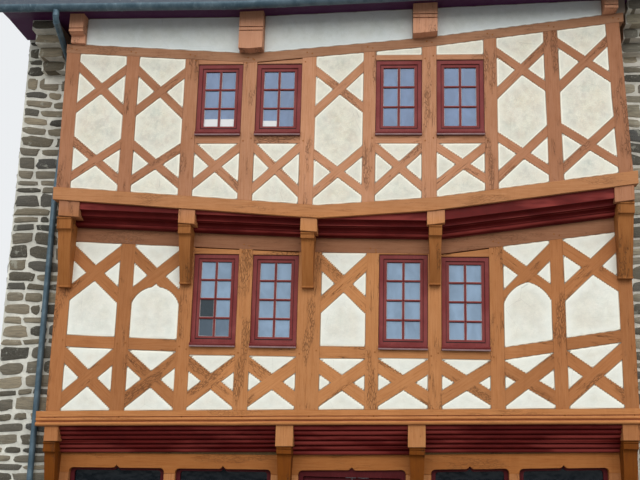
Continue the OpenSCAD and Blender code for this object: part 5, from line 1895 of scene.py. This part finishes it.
@dataclass
class Pegs:
    """Oak pegs that pin the posts to sill and plate, and the rails to the posts."""

    radius: float = 0.011
    proud: float = 0.004
    root: float = 0.012
    sides: int = 9
    left_of_middle: float = 0.036
    right_of_middle: float = 0.038
    below_post: float = 0.075
    above_post: float = 0.055
    beside_rail: float = 0.045
    least_beam: float = 0.2

    def spots(self) -> list[tuple[float, float, float]]:
        """Finds the place of each peg on the posts' faces.

        Returns:
            Places, storey by storey.
        """
        found = []
        for storey in ("first_floor", "second_floor"):
            face = float(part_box(storey + "_posts")[0].y)
            for low, high in solid_boxes(storey + "_posts"):
                centre = (low[0] + high[0]) / 2.0
                for z in (low[2] - self.below_post, high[2] + self.above_post):
                    found += [(centre - self.left_of_middle, face, z + 0.010),
                              (centre + self.right_of_middle, face, z - 0.008)]
            for low, high in solid_boxes(storey + "_rails"):
                if high[2] - low[2] < self.least_beam:
                    middle = (low[2] + high[2]) / 2.0
                    found += [(low[0] - self.beside_rail, face, middle + 0.02),
                              (high[0] + self.beside_rail, face, middle - 0.02)]
        return found

    def build(self) -> None:
        """Makes the pegs of both storeys."""
        spots = np.array(self.spots())
        made = Mesh()
        made.add_copies(*prisms(spots + self.root * BACK, spots - self.proud * BACK, ALONG,
                                ring_profile(self.radius, self.sides)),
                        tone=np.random.default_rng(9).uniform(0.0, 0.5, len(spots)))
        made.build("oak_pegs", OAK_SHADE, smooth=30.0, closed=True)


@dataclass
class GutterStraps:
    """Straps under the front and rear gutters, and wider seams where their lengths are joined."""

    spacing: float = 0.75
    margins: tuple[float, float] = (0.4, 0.2)
    strap: float = 0.030
    seams: tuple[float, ...] = (-4.62, -1.53, -0.86, 3.1)
    seam_width: float = 0.060
    clear: float = 1.002
    thick: float = 0.004
    steps: int = 13

    def build(self) -> None:
        """Bends a strap round each gutter: half a ring, carried along by the width of the strap."""
        made = Mesh()
        low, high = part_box("gutters")
        straps = np.arange(low.x + self.margins[0], high.x - self.margins[1], self.spacing)
        turn = np.linspace(np.pi, 2.0 * np.pi, self.steps)
        for box in solid_boxes("gutters"):
            if box[0, 0] > low.x + 0.01:
                continue
            middle = (box[0, 1] + box[1, 1]) / 2.0
            radius = (box[1, 1] - box[0, 1]) / 2.0
            inner = radius * self.clear * np.stack([np.cos(turn), np.sin(turn)], 1)
            outer = inner * (1.0 + self.thick / radius)
            profile = np.concatenate([outer, inner[::-1]])
            for xs, wide in ((straps, self.strap), (np.array(self.seams), self.seam_width)):
                starts, ends = (np.stack([x, np.full_like(x, middle), box[1, 2] + eaves_lift(x)], 1)
                                for x in (xs, xs + wide))
                made.add_copies(*prisms(starts, ends, BACK, profile))
        made.build("gutter_straps", ZINC, smooth=30.0, closed=True)


@dataclass
class DoorIronwork:
    """Hinge knuckles, knob and lock plate of one door leaf."""

    body: str
    hinge_left: bool
    lock_inset: float = 0.055
    plate: tuple[float, float, float] = (0.040, 0.006, 0.20)
    plate_low: float = 0.86
    plate_proud: float = 0.004
    knob_high: float = 0.99
    knob: float = 0.028
    neck: float = 0.010
    knob_reach: float = 0.042
    knob_depth: float = 0.020
    knuckle: float = 0.009
    knuckle_long: float = 0.11
    knuckle_proud: float = 0.0015
    knuckle_heights: tuple[float, ...] = (0.25, 0.94, 1.62)
    knuckle_sides: int = 12
    sides: int = 16

    def add_knob(self, made: Mesh, centre: Array) -> None:
        """Adds the knob: a neck and half an oval, turned about the line that comes out of the door.

        Args:
            made: The mesh that takes it.
            centre: Middle of the knob's foot.
        """
        turn = np.linspace(0.0, np.pi, 9)
        radius, reach = np.sin(turn) * self.knob, self.knob_reach - np.cos(turn) * self.knob_depth
        radius[0], reach[0] = self.neck, 0.0
        circle = ring_profile(1.0, self.sides)
        ring = np.insert(radius[:, None, None] * circle, 1, -reach[:, None], axis=2)
        made.add(centre + ring, ring_quads(len(turn), self.sides))

    def build(self) -> None:
        """Makes the fittings, which ride on the leaf."""
        low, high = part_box(self.body + "_leaf")
        lock_x = high.x - self.lock_inset if self.hinge_left else low.x + self.lock_inset
        hinge_x = low.x + self.knuckle if self.hinge_left else high.x - self.knuckle
        made = Mesh()
        foot = np.array([lock_x - self.plate[0] / 2.0, low.y - self.plate_proud, low.z + self.plate_low])
        made.add_copies(*box_shape(foot, foot + self.plate))
        self.add_knob(made, np.array([lock_x, low.y - self.plate_proud, low.z + self.knob_high]))
        starts = np.array([[hinge_x, high.y + self.knuckle_proud, low.z + height]
                           for height in self.knuckle_heights])
        made.add_copies(*prisms(starts, starts + self.knuckle_long * UP, ALONG,
                                ring_profile(self.knuckle, self.knuckle_sides)))
        made.build(self.body + "_ironwork", IRON, body=self.body, smooth=35.0, closed=True)


# Studio


@dataclass
class Studio:
    """Camera at the photo's viewing angle, pale floor, an even soft sky and one broad lamp."""

    eye: Colour = (0.84, -17.47, 2.15)
    tilt: float = 13.04
    yaw: float = 4.76
    roll: float = 1.47
    focal_pixels: float = 978.6
    image_width: float = 640.0
    sensor: float = 36.0
    far: float = 400.0
    floor_half: float = 45.0
    floor_seen: Colour = (0.72, 0.72, 0.71)
    floor_lit: Colour = (0.22, 0.215, 0.205)
    backdrop: Colour = (0.84, 0.86, 0.88)
    daylight: Colour = (0.93, 0.965, 1.0)
    zenith: float = 1.55
    horizon: float = 0.95
    ground: float = 0.28
    lamp_size: tuple[float, float] = (26.0, 9.0)
    lamp_power: float = 1650.0
    lamp_colour: Colour = (1.0, 0.975, 0.94)
    lamp_place: Colour = (1.5, -20.0, 14.0)
    lamp_aim: Colour = (0.0, -3.5, 4.0)

    def camera(self) -> None:
        """Places the camera: forward is tilted up and turned left, then rolled about itself."""
        tilt, yaw, roll = (math.radians(a) for a in (self.tilt, self.yaw, self.roll))
        forward = Vector((-math.sin(yaw) * math.cos(tilt), math.cos(yaw) * math.cos(tilt), math.sin(tilt)))
        right = forward.cross(Vector((0.0, 0.0, 1.0))).normalized()
        up = right.cross(forward)
        turned_right = math.cos(roll) * right + math.sin(roll) * up
        turned_up = -math.sin(roll) * right + math.cos(roll) * up
        lens = bpy.data.cameras.new("camera")
        lens.sensor_width = self.sensor
        lens.lens = self.focal_pixels / self.image_width * self.sensor
        lens.clip_end = self.far
        held = bpy.data.objects.new("camera", lens)
        turn = Matrix((turned_right, turned_up, -forward)).transposed()
        held.matrix_world = Matrix.Translation(Vector(self.eye)) @ turn.to_4x4()
        bpy.context.scene.collection.objects.link(held)
        bpy.context.scene.camera = held

    def floor(self) -> None:
        """Lays the pale floor, darker for the light that it throws back."""
        made = bpy.data.materials.new("floor")
        made.use_nodes = True
        made.node_tree.nodes.clear()
        kit = Tree(made.node_tree)
        path = kit.add("ShaderNodeLightPath")
        tone = kit.blend(path.outputs["Is Camera Ray"], self.floor_lit, self.floor_seen)
        surface = kit.add("ShaderNodeBsdfPrincipled", {"Base Color": tone, "Roughness": 0.9})
        kit.add("ShaderNodeOutputMaterial", {"Surface": surface.outputs[0]})
        half = self.floor_half
        mesh = bpy.data.meshes.new("floor")
        corners = np.insert(rectangle(-half, -half, half, half), 2, 0.0, 1)
        mesh.from_pydata(corners, [], [(0, 1, 2, 3)])
        mesh.materials.append(made)
        floor = bpy.data.objects.new("floor", mesh)
        bpy.context.scene.collection.objects.link(floor)

    def sky(self) -> None:
        """Makes the world: pale to the eye, and for light brighter overhead than at the horizon."""
        world = bpy.data.worlds.new("sky")
        bpy.context.scene.world = world
        world.use_nodes = True
        world.node_tree.nodes.clear()
        kit = Tree(world.node_tree)
        height = kit.axis(kit.add("ShaderNodeTexCoord").outputs["Generated"], "Z")
        above = kit.fade(height, 0.0, 1.0, self.horizon, self.zenith)
        strength = kit.times(above, kit.fade(height, -0.05, 0.02, self.ground, 1.0))
        light = kit.add("ShaderNodeBackground", {"Color": self.daylight, "Strength": strength})
        seen = kit.add("ShaderNodeBackground", {"Color": self.backdrop, "Strength": 1.0})
        path = kit.add("ShaderNodeLightPath")
        shown = kit.maths("MAXIMUM", path.outputs["Is Camera Ray"], path.outputs["Is Transmission Ray"])
        mixed = kit.add("ShaderNodeMixShader", {0: shown, 1: light.outputs[0], 2: seen.outputs[0]})
        kit.add("ShaderNodeOutputWorld", {"Surface": mixed.outputs[0]})

    def lamp(self) -> None:
        """Hangs one broad soft lamp high in front of the house."""
        lamp = bpy.data.lights.new("key", "AREA")
        lamp.shape = "RECTANGLE"
        lamp.size, lamp.size_y = self.lamp_size
        lamp.energy = self.lamp_power
        lamp.color = self.lamp_colour
        held = bpy.data.objects.new("key", lamp)
        place = Vector(self.lamp_place)
        aim = (Vector(self.lamp_aim) - place).to_track_quat("-Z", "Y")
        held.matrix_world = Matrix.Translation(place) @ aim.to_matrix().to_4x4()
        bpy.context.scene.collection.objects.link(held)

    def build(self) -> None:
        """Sets up camera, floor, sky and lamp."""
        bpy.context.scene.view_settings.view_transform = "Standard"
        self.camera()
        self.floor()
        self.sky()
        self.lamp()


# The house


@dataclass
class TimberFront:
    """Posts, beams, rails, braces, consoles and mouldings of the street front."""

    beams: tuple[tuple[str, TimberPaint], ...] = (
        ("ground_beam", OAK_GROUND), ("first_floor_sill", OAK_SILL), ("first_floor_plate", OAK_PLATE),
        ("second_floor_sill", OAK_SILL), ("second_floor_plate", OAK_PLATE), ("first_floor_rails", OAK),
        ("second_floor_rails", OAK))
    uprights: tuple[str, ...] = ("ground_posts", "first_floor_posts", "second_floor_posts")
    crosses: tuple[str, ...] = ("first_floor_braces", "second_floor_braces")
    bare: tuple[str, ...] = ("first_floor_deck", "second_floor_deck", "attic_floor")

    def build(self) -> None:
        """Works every timber of the front."""
        for node, finish in self.beams:
            WorkedSolid(node, finish, Grain.ALONG_FRONT).build()
        for node in self.uprights:
            WorkedSolid(node, OAK, Grain.UPRIGHT).build()
        for node in self.crosses:
            WorkedSolid(node, OAK, Grain.CROSSED, arris=0.005, wander=0.0016, ring_gap=0.16).build()
        WorkedSolid("consoles", OAK_SHADE, Grain.UPRIGHT, wander=0.0).build()
        WorkedSolid("joist_ends", OAK, Grain.INTO_HOUSE, wander=0.0, arris=0.008).build()
        WorkedSolid("tie_beams", OAK_TIE, Grain.INTO_HOUSE, wander=0.0, arris=0.008).build()
        WorkedSolid("jetty_cheeks", OAK, Grain.INTO_HOUSE, wander=0.0).build()
        WorkedSolid("jetty_mouldings", RED_LEVEL, Grain.ALONG_FRONT, arris=0.0, wander=0.0,
                    smooth=38.0).build()
        for node in self.bare:
            WorkedSolid(node, OAK_BARE, Grain.INTO_HOUSE, arris=0.0, wander=0.0).build()
        Pegs().build()


@dataclass
class PlasterWork:
    """Limewashed panels of both storeys and of the strip under the eaves."""

    skins: tuple[PlasterSkin, ...] = (
        PlasterSkin("first_floor_limewash", "first_floor_infill", "first_floor_window_frames", LIME_LOW,
                    seed=3),
        PlasterSkin("second_floor_limewash", "second_floor_infill", "second_floor_window_frames", LIME_HIGH,
                    seed=4),
        PlasterSkin("eaves_limewash", "eaves_plaster", "second_floor_window_frames", LIME_EAVES, seed=5))

    def build(self) -> None:
        """Dresses the panels and lays their skins."""
        for skin in self.skins:
            DressedNode(skin.node, skin.finish).dress()
            skin.build()


@dataclass
class Openings:
    """Windows, shop front and door."""

    joinery: tuple[tuple[str, Joinery], ...] = (
        ("shop_window_frames", RED_SHADE), ("door_frame", RED_SHADE), ("first_floor_window_frames", RED),
        ("second_floor_window_frames", RED), ("rear_window_frames", RED))

    def build(self) -> None:
        """Makes the glazing and dresses frames and leaves."""
        for node, finish in self.joinery:
            WorkedSolid(node, finish, Grain.UPRIGHT, arris=0.004, wander=0.0).build()
        for body in ("left_door", "right_door"):
            WorkedSolid(body + "_leaf", RED_SHADE, Grain.UPRIGHT, arris=0.003, wander=0.0, body=body).build()
        Glazing("second_floor", 2, 3, blinds={(0, 0): 0.125, (0, 1): 0.125, (1, 0): 0.10}, seed=4).build()
        Glazing("first_floor", 2, 4, dark_panes={(0, 0, 2): 0.03, (0, 0, 3): 0.22, (0, 1, 3): 0.50},
                seed=6, glass=LOW_PANE).build()
        Glazing("rear", 2, 3, facing=1.0, seed=8).build()
        DressedNode("shop_glass", SHOP_PANE).dress()
        for body, hinge_left in (("left_door", True), ("right_door", False)):
            DoorIronwork(body, hinge_left).build()


@dataclass
class RoofWork:
    """Slates, ridge, boards, gutters and pipes."""

    dressed: tuple[tuple[str, Finish], ...] = (
        ("front_roof", SLATE), ("rear_roof", SLATE), ("gutters", ZINC), ("downpipes", ZINC))

    def build(self) -> None:
        """Covers the roof and dresses the eaves."""
        SlateSlope("front_roof", 51).build()
        SlateSlope("rear_roof", 52).build()
        RidgeTiles().build()
        GutterStraps().build()
        for node, finish in self.dressed:
            DressedNode(node, finish).dress()
        WorkedSolid("eaves_boards", SOFFIT, arris=0.0, wander=0.0).build()


def main() -> None:
    """Builds the studio and every part of the house, in order."""
    logging.basicConfig(level=logging.INFO, format="%(message)s")
    Studio().build()
    TimberFront().build()
    PlasterWork().build()
    StoneWalls().build()
    Openings().build()
    RoofWork().build()


if __name__ == "__main__":
    main()
